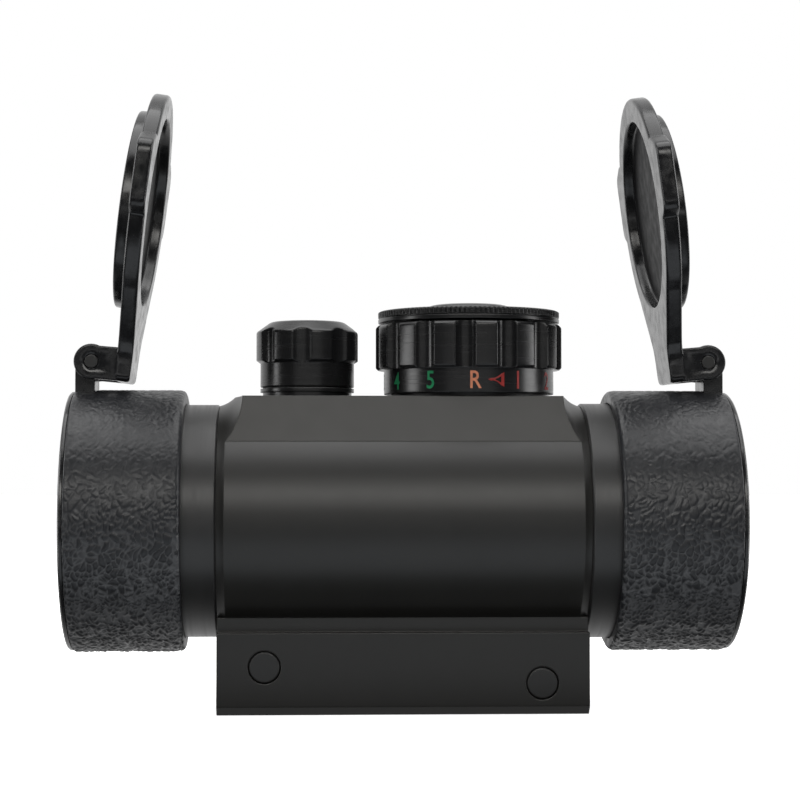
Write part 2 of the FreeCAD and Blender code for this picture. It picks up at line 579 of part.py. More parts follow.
def reflector():
    """Mirror lens with one curved face, and the ring that holds it in the front of the tube."""
    front = -SIZES["tube_front"] + SIZES["lens_ring_width"]
    blank = doc.addObject("Part::Cylinder", "LensBlank")
    bind(blank, "Radius", d("lens_radius"))
    bind(blank, "Height", d("lens_depth"))
    blank.Placement = at(x=front, axis=(0, 1, 0), angle=90)
    curve = doc.addObject("Part::Sphere", "LensCurve")
    bind(curve, "Radius", d("lens_curve"))
    curve.Placement = at(x=front + SIZES["lens_curve"], axis=(0, 1, 0), angle=90)
    lens = doc.addObject("Part::Common", "Lens")
    lens.Base = blank
    lens.Tool = curve
    keep(lens, "reflector_lens", ON_AXIS)
    ring("reflector_retaining_ring", ON_AXIS, "H", d("tube_bore") - 1, d("lens_radius"),
         -d("tube_front"), d("lens_ring_width") - d("tube_front"))


def emitter():
    """Lit dot source under the dial, hung from the top of the optical tube and aimed at the mirror lens."""
    size = d("holder_size")
    top = d("tube_bore") - d("holder_drop")
    low = d("dial_offset") - d("holder_length") * 0.5
    high = d("dial_offset") + d("holder_length") * 0.5
    holder = new_body("emitter_holder", ON_AXIS)
    block = [(low, top - size), (high, top - size), (high, top), (low, top)]
    extrude(holder, "Pad", new_sketch(holder, "XZ_Plane", block), size, symmetric=True)
    wing = [(low, -d("holder_wing")), (high, -d("holder_wing")), (high, d("holder_wing")),
            (low, d("holder_wing"))]
    shoe = new_sketch(holder, "XY_Plane", wing, offset=top - 1)
    extrude(holder, "Pad", shoe, d("shoe_height"))
    barrel = new_sketch(holder, "YZ_Plane", circles=[(0, top - size * 0.5, d("emitter_radius"))], offset=low)
    extrude(holder, "Pocket", barrel, size, backwards=True)
    entry = new_sketch(holder, "XY_Plane", circles=[(d("dial_offset"), 0, d("lead_hole"))], offset=top + 1)
    extrude(holder, "Pocket", entry, d("entry_depth"))
    nose = low - d("emitter_nose")
    back = low + d("emitter_length")
    lamp = new_body("dot_emitter", ON_AXIS * at(z=(top - size * 0.5).value))
    turn(lamp, "Revolution", [(nose, 0), (nose, d("emitter_nose_radius")), (low, d("emitter_radius")),
                              (back, d("emitter_radius")), (back, 0)], "H")
    leads = new_body("emitter_leads", ON_AXIS)
    pair = [(d("dial_offset"), d("lead_spread") * side, d("lead_radius")) for side in (1, -1)]
    first = new_sketch(leads, "XY_Plane", circles=pair, offset=top - 1)
    extrude(leads, "Pad", first, d("pocket_floor") + d("lead_rise") - (top - 1))


def bias_spring():
    """Bowed leaf in the lower near side of the bore that pushes the tube against both plungers."""
    reach = SIZES["leaf_reach"]
    width = SIZES["leaf_width"]
    gap_low = SIZES["tube_radius"] + SIZES["leaf_tube_gap"]
    gap_high = SIZES["bore_radius"] - SIZES["leaf_bore_gap"]
    low = FreeCAD.Vector(-reach, 0, -gap_high)
    crown = FreeCAD.Vector(0, 0, -gap_low)
    high = FreeCAD.Vector(reach, 0, -gap_high)
    down = FreeCAD.Vector(0, 0, SIZES["leaf_thickness"])
    upper = Part.Arc(low + down, crown + down, high + down).toShape()
    lower = Part.Arc(high, crown, low).toShape()
    sides = [Part.makeLine(low, low + down), Part.makeLine(high + down, high)]
    outline = Part.Wire(Part.__sortEdges__([upper, lower, *sides]))
    strip = Part.Face(outline).extrude(FreeCAD.Vector(0, width, 0))
    spring = doc.addObject("Part::Feature", "Leaf")
    spring.Shape = strip.translated(FreeCAD.Vector(0, -width / 2, 0))
    place = at(x=SIZES["leaf_offset"] - SIZES["turret_offset"], z=SIZES["axis_height"], axis=(1, 0, 0),
               angle=-45)
    keep(spring, "bias_spring", place)


# ---------------------------------------------------------------- turrets
def turret(name):
    """Adjusting screw in its seat under a fluted screw cap. Local +Z points out of the housing."""
    placement = TURRET[name]
    seat = new_body(f"{name}_seat", placement)
    spigot_floor = d("drum_floor")
    turn(seat, "Revolution", [
        (d("plunger_radius") + d("pin_play"), d("seat_bottom")), (d("seat_spigot"), d("seat_bottom")),
        (d("seat_spigot"), d("saddle_top")), (d("seat_base"), d("saddle_top")),
        (d("seat_base"), d("flange_bottom")), (d("seat_flange"), d("flange_bottom")),
        (d("seat_flange"), d("flange_top")), (d("collar_radius"), d("flange_top")),
        (d("collar_radius"), d("collar_top")), (d("drum_radius") + d("pin_play"), d("collar_top")),
        (d("drum_radius") + d("pin_play"), spigot_floor), (d("plunger_radius") + d("pin_play"), spigot_floor),
    ], "V")
    ring(f"{name}_gasket", placement, "V", d("collar_radius") + d("free_fit"), d("seat_base"), d("flange_top"),
         d("gasket_top"))
    ring(f"{name}_click_washer", placement, "V", d("stem_radius") + d("washer_play"),
         d("drum_radius") - d("washer_inset"), spigot_floor, d("washer_top") - d("close_fit"))
    screw = new_body(f"{name}_screw", placement)
    stem_bottom = d("plunger_tip") + d("stem_gap")
    turn(screw, "Revolution", [
        (0, stem_bottom), (d("stem_radius"), stem_bottom), (d("stem_radius"), d("washer_top")),
        (d("drum_radius"), d("washer_top")), (d("drum_radius"), d("drum_top") - d("drum_chamfer")),
        (d("drum_radius") - d("drum_chamfer"), d("drum_top")), (0, d("drum_top")),
    ], "V")
    half = d("screw_slot_half")
    reach = d("screw_slot_reach")
    coin_slot = [(-half, -reach), (half, -reach), (half, reach), (-half, reach)]
    slot_sketch = new_sketch(screw, "XY_Plane", coin_slot, offset=d("drum_top"))
    extrude(screw, "Pocket", slot_sketch, d("screw_slot_depth"))
    plunger = new_body(f"{name}_plunger", placement)
    bore = d("stem_radius") + d("pin_play")
    floor = d("plunger_tip") + d("plunger_floor")
    turn(plunger, "Revolution", [
        (0, d("plunger_tip")), (d("plunger_radius") - d("plunger_chamfer"), d("plunger_tip")),
        (d("plunger_radius"), d("plunger_tip") + d("plunger_chamfer")),
        (d("plunger_radius"), d("plunger_top")), (bore, d("plunger_top")), (bore, floor), (0, floor),
    ], "V")
    turret_cap(name, placement)


def turret_cap(name, placement):
    body = new_body(f"{name}_cap", placement)
    thread = d("collar_radius") + d("free_fit")
    room = d("turret_cap_shoulder") - d("turret_cap_wall")
    edge = d("turret_cap_dome")
    turn(body, "Revolution", [
        (thread, d("turret_cap_bottom")), (d("seat_flange") - edge, d("turret_cap_bottom")),
        (d("seat_flange"), d("turret_cap_bottom") + edge), (d("seat_flange"), d("turret_cap_collar")),
        (d("turret_cap_radius"), d("turret_cap_collar") + d("turret_cap_step")),
        (d("turret_cap_radius"), d("turret_cap_shoulder")),
        (d("turret_cap_crown"), d("turret_cap_top")), (0, d("turret_cap_top") + edge),
        (0, room), (thread, room),
    ], "V")
    centre = d("turret_cap_radius") + d("turret_flute") - d("turret_flute_depth")
    sketch = new_sketch(body, "XY_Plane", circles=[(0, -centre, d("turret_flute"))],
                        offset=d("turret_cap_collar"), spin=d("turret_flute_turn"))
    flute = extrude(body, "Pocket", sketch, d("turret_cap_top"), backwards=True)
    around(body, flute, "Z_Axis", d("turret_flute_count"))


# ---------------------------------------------------------------- brightness dial
def rheostat():
    """Fixed core with the switch board and the battery cup, the dial that turns round it, and the cap."""
    rheostat_core()
    ring("switch_board", DIAL, "V", d("core_barrel") + d("close_fit"), d("core_flange") - d("free_fit"),
         d("board_bottom"), d("board_top"))
    ring("contact_wiper", DIAL, "V", d("dial_bore") + d("wiper_inset"), d("dial_cavity") - d("wiper_margin"),
         d("dial_ceiling") - d("wiper_thickness"), d("dial_ceiling"))
    brightness_dial()
    ring("dial_retaining_ring", DIAL, "V", d("core_barrel"), d("keeper_radius"),
         d("core_top") - d("keeper_thickness"), d("core_top") + d("close_fit"))
    detent()
    dished = new_body("battery_contact", DIAL)
    edge = d("battery_bottom") - d("contact_gap")
    turn(dished, "Revolution", [
        (d("contact_inner"), d("cup_floor")), (d("contact_outer"), edge),
        (d("contact_outer"), edge + d("contact_thickness")),
        (d("contact_inner"), d("cup_floor") + d("contact_thickness")),
    ], "V")
    ring("battery", DIAL, "V", 0, d("battery_radius"), d("battery_bottom"), d("battery_top"))
    battery_cap()


def rheostat_core():
    body = new_body("rheostat_core", DIAL)
    turn(body, "Revolution", [
        (d("core_bore"), d("pocket_floor")), (d("dial_pocket") - d("close_fit"), d("pocket_floor")),
        (d("dial_pocket") - d("close_fit"), d("saddle_top")), (d("core_flange"), d("saddle_top")),
        (d("core_flange"), d("board_bottom")), (d("core_barrel"), d("board_bottom")),
        (d("core_barrel"), d("core_top")), (d("cup_radius"), d("core_top")),
        (d("cup_radius"), d("cup_floor")), (d("core_lead_hole"), d("cup_floor")),
        (d("core_lead_hole"), d("board_top")), (d("core_bore"), d("board_top")),
    ], "V")
    hole = new_sketch(body, "YZ_Plane", circles=[(0, d("detent_height"), d("detent_radius") + d("close_fit"))],
                      offset=d("core_barrel") + 1)
    extrude(body, "Pocket", hole, d("detent_seat") + 1)


def brightness_dial():
    """Numbered skirt below, fluted grip above, and a row of detent grooves down the bore."""
    body = new_body("brightness_dial", DIAL)
    low_edge = d("dial_low_chamfer")
    high_edge = d("dial_high_chamfer")
    shelf = d("core_top") - d("keeper_thickness") - d("free_fit")
    turn(body, "Revolution", [
        (d("dial_cavity"), d("dial_bottom")), (d("skirt_radius"), d("dial_bottom")),
        (d("skirt_radius"), d("skirt_top")), (d("dial_radius") - low_edge, d("skirt_top")),
        (d("dial_radius"), d("skirt_top") + low_edge), (d("dial_radius"), d("dial_top") - high_edge),
        (d("dial_radius") - high_edge, d("dial_top")), (d("keeper_radius") + d("free_fit"), d("dial_top")),
        (d("keeper_radius") + d("free_fit"), shelf), (d("dial_bore"), shelf),
        (d("dial_bore"), d("dial_ceiling")), (d("dial_cavity"), d("dial_ceiling")),
    ], "V")
    centre = d("dial_radius") + d("dial_flute") - d("dial_flute_depth")
    sketch = new_sketch(body, "XY_Plane", circles=[(0, -centre, d("dial_flute"))], offset=d("skirt_top"),
                        spin=d("dial_flute_turn"))
    flute = extrude(body, "Pocket", sketch, d("dial_top"), backwards=True)
    around(body, flute, "Z_Axis", d("dial_flute_count"))
    notch = [(d("dial_bore") - d("detent_groove_inset"), 0, d("detent_groove"))]
    groove_sketch = new_sketch(body, "XY_Plane", circles=notch, offset=d("dial_ceiling"))
    groove = extrude(body, "Pocket", groove_sketch, d("core_top") - d("dial_ceiling"), backwards=True)
    around(body, groove, "Z_Axis", d("detent_count"))


def detent():
    """Ball and spring in the core that click in the dial's grooves."""
    ball = keep(doc.addObject("Part::Sphere", "Sphere"), "detent_ball")
    bind(ball, "Radius", d("detent_radius"))
    seat = SIZES["core_barrel"] - SIZES["detent_seat"]
    out = SIZES["dial_bore"] - SIZES["detent_radius"] - SIZES["detent_play"]
    ball.Placement = DIAL * at(x=out, z=SIZES["detent_height"])
    length = out - SIZES["detent_radius"] - seat - SIZES["free_fit"]
    wire = SIZES["detent_wire"]
    radius = SIZES["detent_radius"] - wire - SIZES["free_fit"]
    helix = Part.makeHelix((length - wire * 2) / 4, length - wire * 2, radius)
    section = Part.Wire(Part.Circle(FreeCAD.Vector(radius, 0, 0), FreeCAD.Vector(0, 1, 0), wire).toShape())
    spring = doc.addObject("Part::Feature", "DetentSpring")
    spring.Shape = Part.Wire(helix).makePipeShell([section], True, True)
    start = seat + wire + SIZES["close_fit"]
    place = at(x=start, z=SIZES["detent_height"], axis=(0, 1, 0), angle=90)
    keep(spring, "detent_spring", DIAL * place)


def battery_cap():
    body = new_body("battery_cap", DIAL)
    bottom = d("battery_cap_bottom")
    edge = d("battery_cap_edge")
    chamfer = d("cap_edge_chamfer")
    inside = d("battery_top") + d("free_fit")
    turn(body, "Revolution", [
        (0, inside), (d("battery_spigot"), inside), (d("battery_spigot"), bottom),
        (d("battery_cap_radius"), bottom), (d("battery_cap_radius"), edge - chamfer),
        (d("battery_cap_radius") - chamfer, edge), (d("battery_cap_disc"), edge),
        (d("battery_cap_disc") - d("cap_disc_chamfer"), d("battery_cap_top")), (0, d("battery_cap_top")),
    ], "V")
    reach = d("coin_slot_half")
    half = d("coin_slot_width") * 0.5
    slot = [(-reach, -half), (reach, -half), (reach, half), (-reach, half)]
    slot_sketch = new_sketch(body, "XY_Plane", slot, offset=d("battery_cap_top"))
    extrude(body, "Pocket", slot_sketch, d("coin_slot_depth"))
    gap = (d("battery_cap_bottom") - d("core_top")) * 0.5
    seal = keep(doc.addObject("Part::Torus", "Torus"), "battery_cap_o_ring")
    bind(seal, "Radius1", d("battery_spigot") + gap + d("close_fit"))
    bind(seal, "Radius2", gap)
    seal.Placement = DIAL * at(z=(d("core_top") + gap).value)


# ---------------------------------------------------------------- rail clamp
def clamp():
    plate = new_body("clamp_plate")
    inner = d("far_face") + d("plate_gap")
    chamfer = d("block_chamfer")
    top = d("block_top") - d("plate_drop")
    edge = d("plate_chamfer")
    section = [
        (inner, top), (inner, d("groove_half") - d("groove_high") - inner),
        (d("groove_half"), -d("groove_high")),
        (d("groove_half"), -d("groove_low")), (d("lip_half"), -d("block_drop")),
        (d("block_half") - chamfer, -d("block_drop")), (d("block_half"), chamfer - d("block_drop")),
        (d("block_half"), top - edge), (d("block_half") - edge, top),
    ]
    length = d("housing_half") * 2 - d("plate_short")
    extrude(plate, "Pad", new_sketch(plate, "YZ_Plane", section), length, symmetric=True)
    for side, end in ((-1, "front"), (1, "rear")):
        place = (d("bolt_offset") * side, d(f"{end}_bolt_height"))
        hole = new_sketch(plate, "XZ_Plane", circles=[(*place, d("bolt_radius") + d("bolt_play"))],
                          offset=-d("block_half") - 1)
        extrude(plate, "Pocket", hole, d("block_half"), backwards=True)
        cross_bolt(end, side)
        clamp_nut(end, side)


def cross_bolt(end, side):
    """Bolt with a flush head in the near jaw, drawn along its own axis and laid across the block."""
    place = at(x=SIZES["bolt_offset"] * side, z=SIZES[f"{end}_bolt_height"], axis=(1, 0, 0), angle=-90)
    body = new_body(f"{end}_cross_bolt", place)
    face = -d("block_half")
    under = face + d("bolt_head_depth")
    shank = d("bolt_radius") - d("close_fit")
    head = d("bolt_head_radius") - d("close_fit")
    head_edge = d("bolt_head_chamfer")
    end_edge = d("bolt_end_chamfer")
    turn(body, "Revolution", [
        (0, face), (head - head_edge, face), (head, face + head_edge), (head, under), (shank, under),
        (shank, d("bolt_end") - end_edge), (shank - end_edge, d("bolt_end")), (0, d("bolt_end")),
    ], "V")


def clamp_nut(end, side):
    place = at(x=SIZES["bolt_offset"] * side, z=SIZES[f"{end}_bolt_height"], axis=(1, 0, 0), angle=-90)
    start = d("block_half") + d("free_fit")
    stop = start + d("nut_thickness")
    edge = d("nut_chamfer")
    body = new_body(f"{end}_clamp_nut", place)
    bore = d("bolt_radius") + d("nut_play")
    turn(body, "Revolution", [(bore, start), (d("nut_radius"), start), (d("nut_radius"), stop - edge),
                              (d("nut_radius") - edge, stop), (bore, stop)], "V")
    centre = d("nut_radius") + d("nut_flute_out")
    sketch = new_sketch(body, "XY_Plane", circles=[(0, centre, d("nut_flute"))], offset=start)
    flute = extrude(body, "Pocket", sketch, d("nut_thickness"), backwards=True)
    around(body, flute, "Z_Axis", d("nut_flute_count"))


def write_steps():
    """Check every object and every piece, then write one STEP file for each node."""
    doc.recompute()
    failed = [item.Name for item in doc.Objects if {"Invalid", "Error"} & set(item.State)]
    if failed:
        raise RuntimeError(f"failed objects: {failed}")
    for label, piece in nodes.items():
        if piece.Shape.isNull() or not piece.Shape.isValid() or not piece.Shape.Solids:
            raise RuntimeError(f"{label} has no valid solid")
    os.makedirs("parts", exist_ok=True)
    for label, piece in nodes.items():
        piece.Shape.exportStep(f"parts/{label}.step")
        print(label, len(piece.Shape.Solids), round(piece.Shape.Volume, 2))


main_housing()
for end_name in ("front", "rear"):
    end_optics(end_name)
    flip_up_cover(end_name)
optical_tube()
gimbal()
reflector()
emitter()
bias_spring()
for turret_name in ("elevation", "windage"):
    turret(turret_name)
rheostat()
clamp()
write_steps()
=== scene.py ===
"""Studio scene of the tube red dot sight.

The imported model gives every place. The leather-grained sleeves, the moulded lids, the fluted knobs and the
dial's marks are built here in millimetres, each in a frame of its own, and laid where the model says. Every
surface has a procedural material.
"""
import bmesh
import bpy
import json
import math
import numpy as np
from mathutils import Matrix, Vector
from mathutils.kdtree import KDTree


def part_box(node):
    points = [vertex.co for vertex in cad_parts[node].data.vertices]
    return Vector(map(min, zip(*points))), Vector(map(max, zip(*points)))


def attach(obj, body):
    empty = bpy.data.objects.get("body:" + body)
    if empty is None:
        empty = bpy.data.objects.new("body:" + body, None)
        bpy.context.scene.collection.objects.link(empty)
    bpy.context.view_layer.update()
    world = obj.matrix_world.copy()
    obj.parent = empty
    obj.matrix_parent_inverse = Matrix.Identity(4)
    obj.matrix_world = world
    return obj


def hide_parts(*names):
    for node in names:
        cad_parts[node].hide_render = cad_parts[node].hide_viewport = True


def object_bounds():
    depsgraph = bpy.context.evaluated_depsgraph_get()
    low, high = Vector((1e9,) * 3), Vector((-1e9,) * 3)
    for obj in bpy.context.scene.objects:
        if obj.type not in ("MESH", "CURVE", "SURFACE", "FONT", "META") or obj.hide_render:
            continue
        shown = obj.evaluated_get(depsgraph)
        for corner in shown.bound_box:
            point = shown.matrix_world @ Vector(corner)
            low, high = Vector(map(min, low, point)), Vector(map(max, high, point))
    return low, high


MM = 0.001
SEED = 11

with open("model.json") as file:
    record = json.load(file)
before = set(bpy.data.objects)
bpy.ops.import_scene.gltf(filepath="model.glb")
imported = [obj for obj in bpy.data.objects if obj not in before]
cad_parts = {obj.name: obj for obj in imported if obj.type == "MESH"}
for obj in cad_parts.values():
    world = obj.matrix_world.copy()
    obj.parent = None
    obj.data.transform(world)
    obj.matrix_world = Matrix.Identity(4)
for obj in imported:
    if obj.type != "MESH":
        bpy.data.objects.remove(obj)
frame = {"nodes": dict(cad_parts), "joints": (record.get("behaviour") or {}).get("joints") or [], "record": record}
cad_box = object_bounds()
joints = {joint["name"]: joint for joint in frame["joints"]}


# ---------------------------------------------------------------- places
def middle(node):
    low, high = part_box(node)
    return (low + high) / 2


AXIS_HEIGHT = middle("optical_tube").z
SIDE = {"front": -1, "rear": 1}
UPRIGHT = Matrix.Identity(4)
ALONG_Y = Matrix.Rotation(math.radians(-90), 4, "X")
ALONG_X = Matrix.Rotation(math.radians(90), 4, "Y")


def place(x, y, z, rotation):
    """From millimetres in a piece's own frame to metres in the model's frame."""
    return Matrix.Translation((x, y, z)) @ rotation @ Matrix.Scale(MM, 4)


ELEVATION = place(middle("elevation_cap").x, 0, AXIS_HEIGHT, UPRIGHT)
WINDAGE = place(middle("windage_cap").x, 0, AXIS_HEIGHT, ALONG_Y)
DIAL = place(middle("brightness_dial").x, 0, AXIS_HEIGHT, UPRIGHT)


def tube_end(end):
    """Own +Z runs out along the optical axis, and own +X points down at the front and up at the rear."""
    outward = ALONG_X if end == "rear" else Matrix.Rotation(math.radians(-90), 4, "Y")
    return place(0, 0, AXIS_HEIGHT, outward)


def lid_place(end):
    """Own frame on the hinge axis with the lid drawn shut, swung open as the model stores it."""
    joint = joints[f"{end}_lid_hinge"]
    facing = Matrix.Rotation(0 if end == "rear" else math.pi, 4, "Z")
    opened = Matrix.Rotation(-math.radians(max(joint["range_deg"])), 4, "Y")
    return Matrix.Translation(joint["pos_m"]) @ facing @ opened @ Matrix.Scale(MM, 4)


# ---------------------------------------------------------------- meshes
CORNER_SHARE = 0.49
SAME_POINT = 1e-5
TINY = 1e-6
BLEND_RANGE = 30


def rounded(corners, closed=False, spacing=None, steps=5):
    """Line through corners (u, v, radius), each rounded, with points no further apart than spacing."""
    line = []
    for index, (u, v, radius) in enumerate(corners):
        corner = np.array((u, v), float)
        is_end = not closed and index in (0, len(corners) - 1)
        if is_end or not radius:
            line.append(corner)
            continue
        before = np.array(corners[index - 1][:2]) - corner
        after = np.array(corners[(index + 1) % len(corners)][:2]) - corner
        reach = min(radius, CORNER_SHARE * np.hypot(*before), CORNER_SHARE * np.hypot(*after))
        start = corner + before / np.hypot(*before) * reach
        stop = corner + after / np.hypot(*after) * reach
        for share in np.linspace(0, 1, steps + 1):
            line.append((1 - share) ** 2 * start + 2 * share * (1 - share) * corner + share**2 * stop)
    if not spacing:
        return np.array(line)
    fine = []
    pairs = zip(line, line[1:] + line[:1] if closed else line[1:])
    for start, stop in pairs:
        pieces = max(1, math.ceil(np.hypot(*(stop - start)) / spacing))
        fine += [start + (stop - start) * step / pieces for step in range(pieces)]
    if not closed:
        fine.append(line[-1])
    return np.array(fine)


def circle(count):
    angles = np.linspace(0, 2 * math.pi, count, endpoint=False)
    return np.stack((np.cos(angles), np.sin(angles)), axis=1)


def grid_object(name, points, closed, matrix, crease_highlight=None):
    """Smooth mesh over a grid of points [row, column], closed round the columns and, if asked, over the rows.

    Crease highlight is a value for each point, the painted highlight on the rubber's creases, which the rubber's
    material reads from the mesh.
    """
    rows, columns = points.shape[:2]
    numbers = np.arange(rows * columns).reshape(rows, columns)
    above = np.roll(numbers, -1, axis=0)
    if not closed:
        numbers, above = numbers[:-1], above[:-1]
    beside = np.roll(numbers, -1, axis=1)
    over = np.roll(above, -1, axis=1)
    faces = np.stack((numbers, beside, over, above), axis=-1).reshape(-1, 4)
    mesh = bpy.data.meshes.new(name)
    mesh.from_pydata(points.reshape(-1, 3).tolist(), [], faces.tolist())
    if crease_highlight is not None:
        mesh.attributes.new("crease", "FLOAT", "POINT").data.foreach_set("value", crease_highlight.reshape(-1))
    tidy = bmesh.new()
    tidy.from_mesh(mesh)
    bmesh.ops.remove_doubles(tidy, verts=tidy.verts, dist=SAME_POINT)
    bmesh.ops.recalc_face_normals(tidy, faces=tidy.faces)
    tidy.to_mesh(mesh)
    tidy.free()
    mesh.transform(matrix)
    mesh.shade_smooth()
    piece = bpy.data.objects.new(name, mesh)
    bpy.context.scene.collection.objects.link(piece)
    return piece


def turned_points(profile, columns):
    """Grid of a profile (radius, height) turned about own Z through the columns' directions."""
    flat = profile[:, None, :1] * columns[None, :, :]
    height = np.broadcast_to(profile[:, None, 1:], flat.shape[:2] + (1,))
    return np.concatenate((flat, height), axis=2)


def star_points(profile, outline):
    """Grid on a star-shaped outline. Each profile point is (radius, share, height).

    It lies at radius + share * reach, where reach is the outline's own distance from the middle.
    """
    reach = np.hypot(outline[:, 0], outline[:, 1])
    ways = outline / reach[:, None]
    out = profile[:, :1] + profile[:, 1:2] * reach[None, :]
    flat = out[:, :, None] * ways[None, :, :]
    height = np.broadcast_to(profile[:, 2][:, None, None], flat.shape[:2] + (1,))
    return np.concatenate((flat, height), axis=2)


def lower_of(first, second, softness):
    """The lower of two values, with a rounded change from one to the other."""
    least = np.minimum(first, second)
    gap = np.clip(np.abs(first - second) / softness, 0, BLEND_RANGE)
    return least - softness * np.log1p(np.exp(-gap))


def cut_flutes(points, count, turn, centre, radius, low, high, softness=0.06):
    """Pull the points between two heights inside evenly spaced round flutes.

    Turn is the first flute's angle from own -Y. Centre is how far from the axis the flutes' own axes lie.
    """
    spread = 2 * math.pi / count
    angles = np.arctan2(points[..., 0], -points[..., 1]) - math.radians(turn)
    off = (angles + spread / 2) % spread - spread / 2
    across = centre * np.sin(off)
    inside = np.clip(radius**2 - across**2, 0, None)
    wall = centre * np.cos(off) - np.sqrt(inside)
    wall = np.where(np.abs(across) < radius, wall, centre + radius)
    reach = np.hypot(points[..., 0], points[..., 1])
    cut = lower_of(reach, wall, softness)
    cut = np.where((points[..., 2] > low) & (points[..., 2] < high), cut, reach)
    points[..., :2] *= (cut / np.maximum(reach, TINY))[..., None]


def stands_for(piece, body, slot, finish, *nodes):
    piece.data.materials.append(finish)
    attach(piece, body)
    if nodes:
        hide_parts(*nodes)
    return piece


# ---------------------------------------------------------------- materials
BEVEL_SAMPLES = 6
MIX_BELOW = 6
MIX_OVER = 7
MIX_RESULT = 2
NOISE_VALUE = 0
WAVE_VALUE = 1


class Finish:
    """A procedural material under construction. Sizes are in millimetres, in the object's own space."""

    def __init__(self, name, colour, roughness, edge=None, **constants):
        self.material = bpy.data.materials.new(name)
        self.material.use_nodes = True
        self.tree = self.material.node_tree
        self.shader = self.tree.nodes["Principled BSDF"]
        self.where = self.node("ShaderNodeTexCoord").outputs["Object"]
        self.colour = None
        self.normal = None
        self.base = (*colour, 1.0)
        self.shader.inputs["Base Color"].default_value = self.base
        self.shader.inputs["Roughness"].default_value = roughness
        for socket, value in constants.items():
            self.shader.inputs[socket.replace("_", " ")].default_value = value
        if edge:
            self.soft_edges(edge)

    def node(self, kind, **settings):
        made = self.tree.nodes.new(kind)
        for setting, value in settings.items():
            setattr(made, setting, value)
        return made

    def link(self, output, socket):
        self.tree.links.new(output, socket)

    def soft_edges(self, width):
        """Light runs along the edges as on a part whose edges are broken."""
        bevel = self.node("ShaderNodeBevel", samples=BEVEL_SAMPLES)
        bevel.inputs["Radius"].default_value = width * MM
        self.normal = bevel.outputs["Normal"]
        self.link(self.normal, self.shader.inputs["Normal"])

    def scaled(self, size, stretch=(1, 1, 1)):
        mapping = self.node("ShaderNodeMapping")
        mapping.inputs["Scale"].default_value = [1 / (size * MM * each) for each in stretch]
        self.link(self.where, mapping.inputs["Vector"])
        return mapping.outputs["Vector"]

    def noise(self, size, detail=3.0, stretch=(1, 1, 1), distortion=0.0):
        texture = self.node("ShaderNodeTexNoise")
        texture.inputs["Scale"].default_value = 1.0
        texture.inputs["Detail"].default_value = detail
        texture.inputs["Distortion"].default_value = distortion
        self.link(self.scaled(size, stretch), texture.inputs["Vector"])
        return texture.outputs[NOISE_VALUE]

    def ranged(self, output, low, high, start=0.35, stop=0.65):
        ranged = self.node("ShaderNodeMapRange")
        for socket, value in (("From Min", start), ("From Max", stop), ("To Min", low), ("To Max", high)):
            ranged.inputs[socket].default_value = value
        self.link(output, ranged.inputs["Value"])
        return ranged.outputs["Result"]

    def tint(self, factor, colour):
        """Mix another colour over what is there."""
        mix = self.node("ShaderNodeMix", data_type="RGBA")
        self.link(factor, mix.inputs[0])
        mix.inputs[MIX_BELOW].default_value = self.base
        if self.colour:
            self.link(self.colour, mix.inputs[MIX_BELOW])
        mix.inputs[MIX_OVER].default_value = (*colour, 1.0)
        self.colour = mix.outputs[MIX_RESULT]
        self.link(self.colour, self.shader.inputs["Base Color"])

    def vary_roughness(self, size, low, high, stretch=(1, 1, 1)):
        varied = self.ranged(self.noise(size, stretch=stretch), low, high)
        self.link(varied, self.shader.inputs["Roughness"])

    def bump(self, height, depth):
        bump = self.node("ShaderNodeBump")
        bump.inputs["Distance"].default_value = depth * MM
        bump.inputs["Strength"].default_value = 1.0
        self.link(height, bump.inputs["Height"])
        if self.normal:
            self.link(self.normal, bump.inputs["Normal"])
        self.normal = bump.outputs["Normal"]
        self.link(self.normal, self.shader.inputs["Normal"])

    def wear_edges(self, width, colour):
        """Rubbed finish and painted highlight on the sharp edges: painted lighter where the softened normal leaves
        the true one.
        """
        bevel = self.node("ShaderNodeBevel", samples=BEVEL_SAMPLES)
        bevel.inputs["Radius"].default_value = width * MM
        level = self.node("ShaderNodeVectorMath", operation="DOT_PRODUCT")
        self.link(bevel.outputs["Normal"], level.inputs[0])
        self.link(self.node("ShaderNodeNewGeometry").outputs["Normal"], level.inputs[1])
        # Mask for the lighter edge colour: partly a rubbed finish, partly a painted highlight.
        rubbed_and_lit = self.ranged(level.outputs["Value"], 0.8, 0.0, start=0.86, stop=0.985)
        self.tint(rubbed_and_lit, colour)


def shade(colour, factor, lift=0.0):
    return tuple(part * factor + lift for part in colour)


def anodised(name, colour, roughness, blast):
    """Bead-blasted black anodising with faint patches, and rubbed edges painted lighter as a painted highlight."""
    made = Finish(name, colour, roughness, edge=0.3, Specular_IOR_Level=0.5)
    made.tint(made.ranged(made.noise(14.0), 0.0, 0.15), shade(colour, 1.9, 0.002))
    # Edges painted lighter: partly rubbed finish, partly painted highlight.
    made.wear_edges(0.16, (0.1, 0.095, 0.09))
    made.vary_roughness(3.0, roughness - 0.008, roughness + 0.012)
    made.bump(made.noise(0.16, detail=2.0), blast)
    return made.material


def turned_metal(name, colour, roughness, stretch, edge=0.25, **constants):
    """Lathe-turned surface: fine rings across the turning axis."""
    made = Finish(name, colour, roughness, edge=edge, **constants)
    made.tint(made.ranged(made.noise(9.0), 0.0, 0.4), shade(colour, 1.6, 0.003))
    # Edges painted lighter: partly rubbed finish, partly painted highlight.
    made.wear_edges(0.1, tuple(min(1.0, part) for part in shade(colour, 2.0, 0.06)))
    made.vary_roughness(0.5, roughness - 0.02, roughness + 0.04, stretch)
    made.bump(made.noise(0.14, detail=1.0, stretch=stretch), 0.0015)
    return made.material


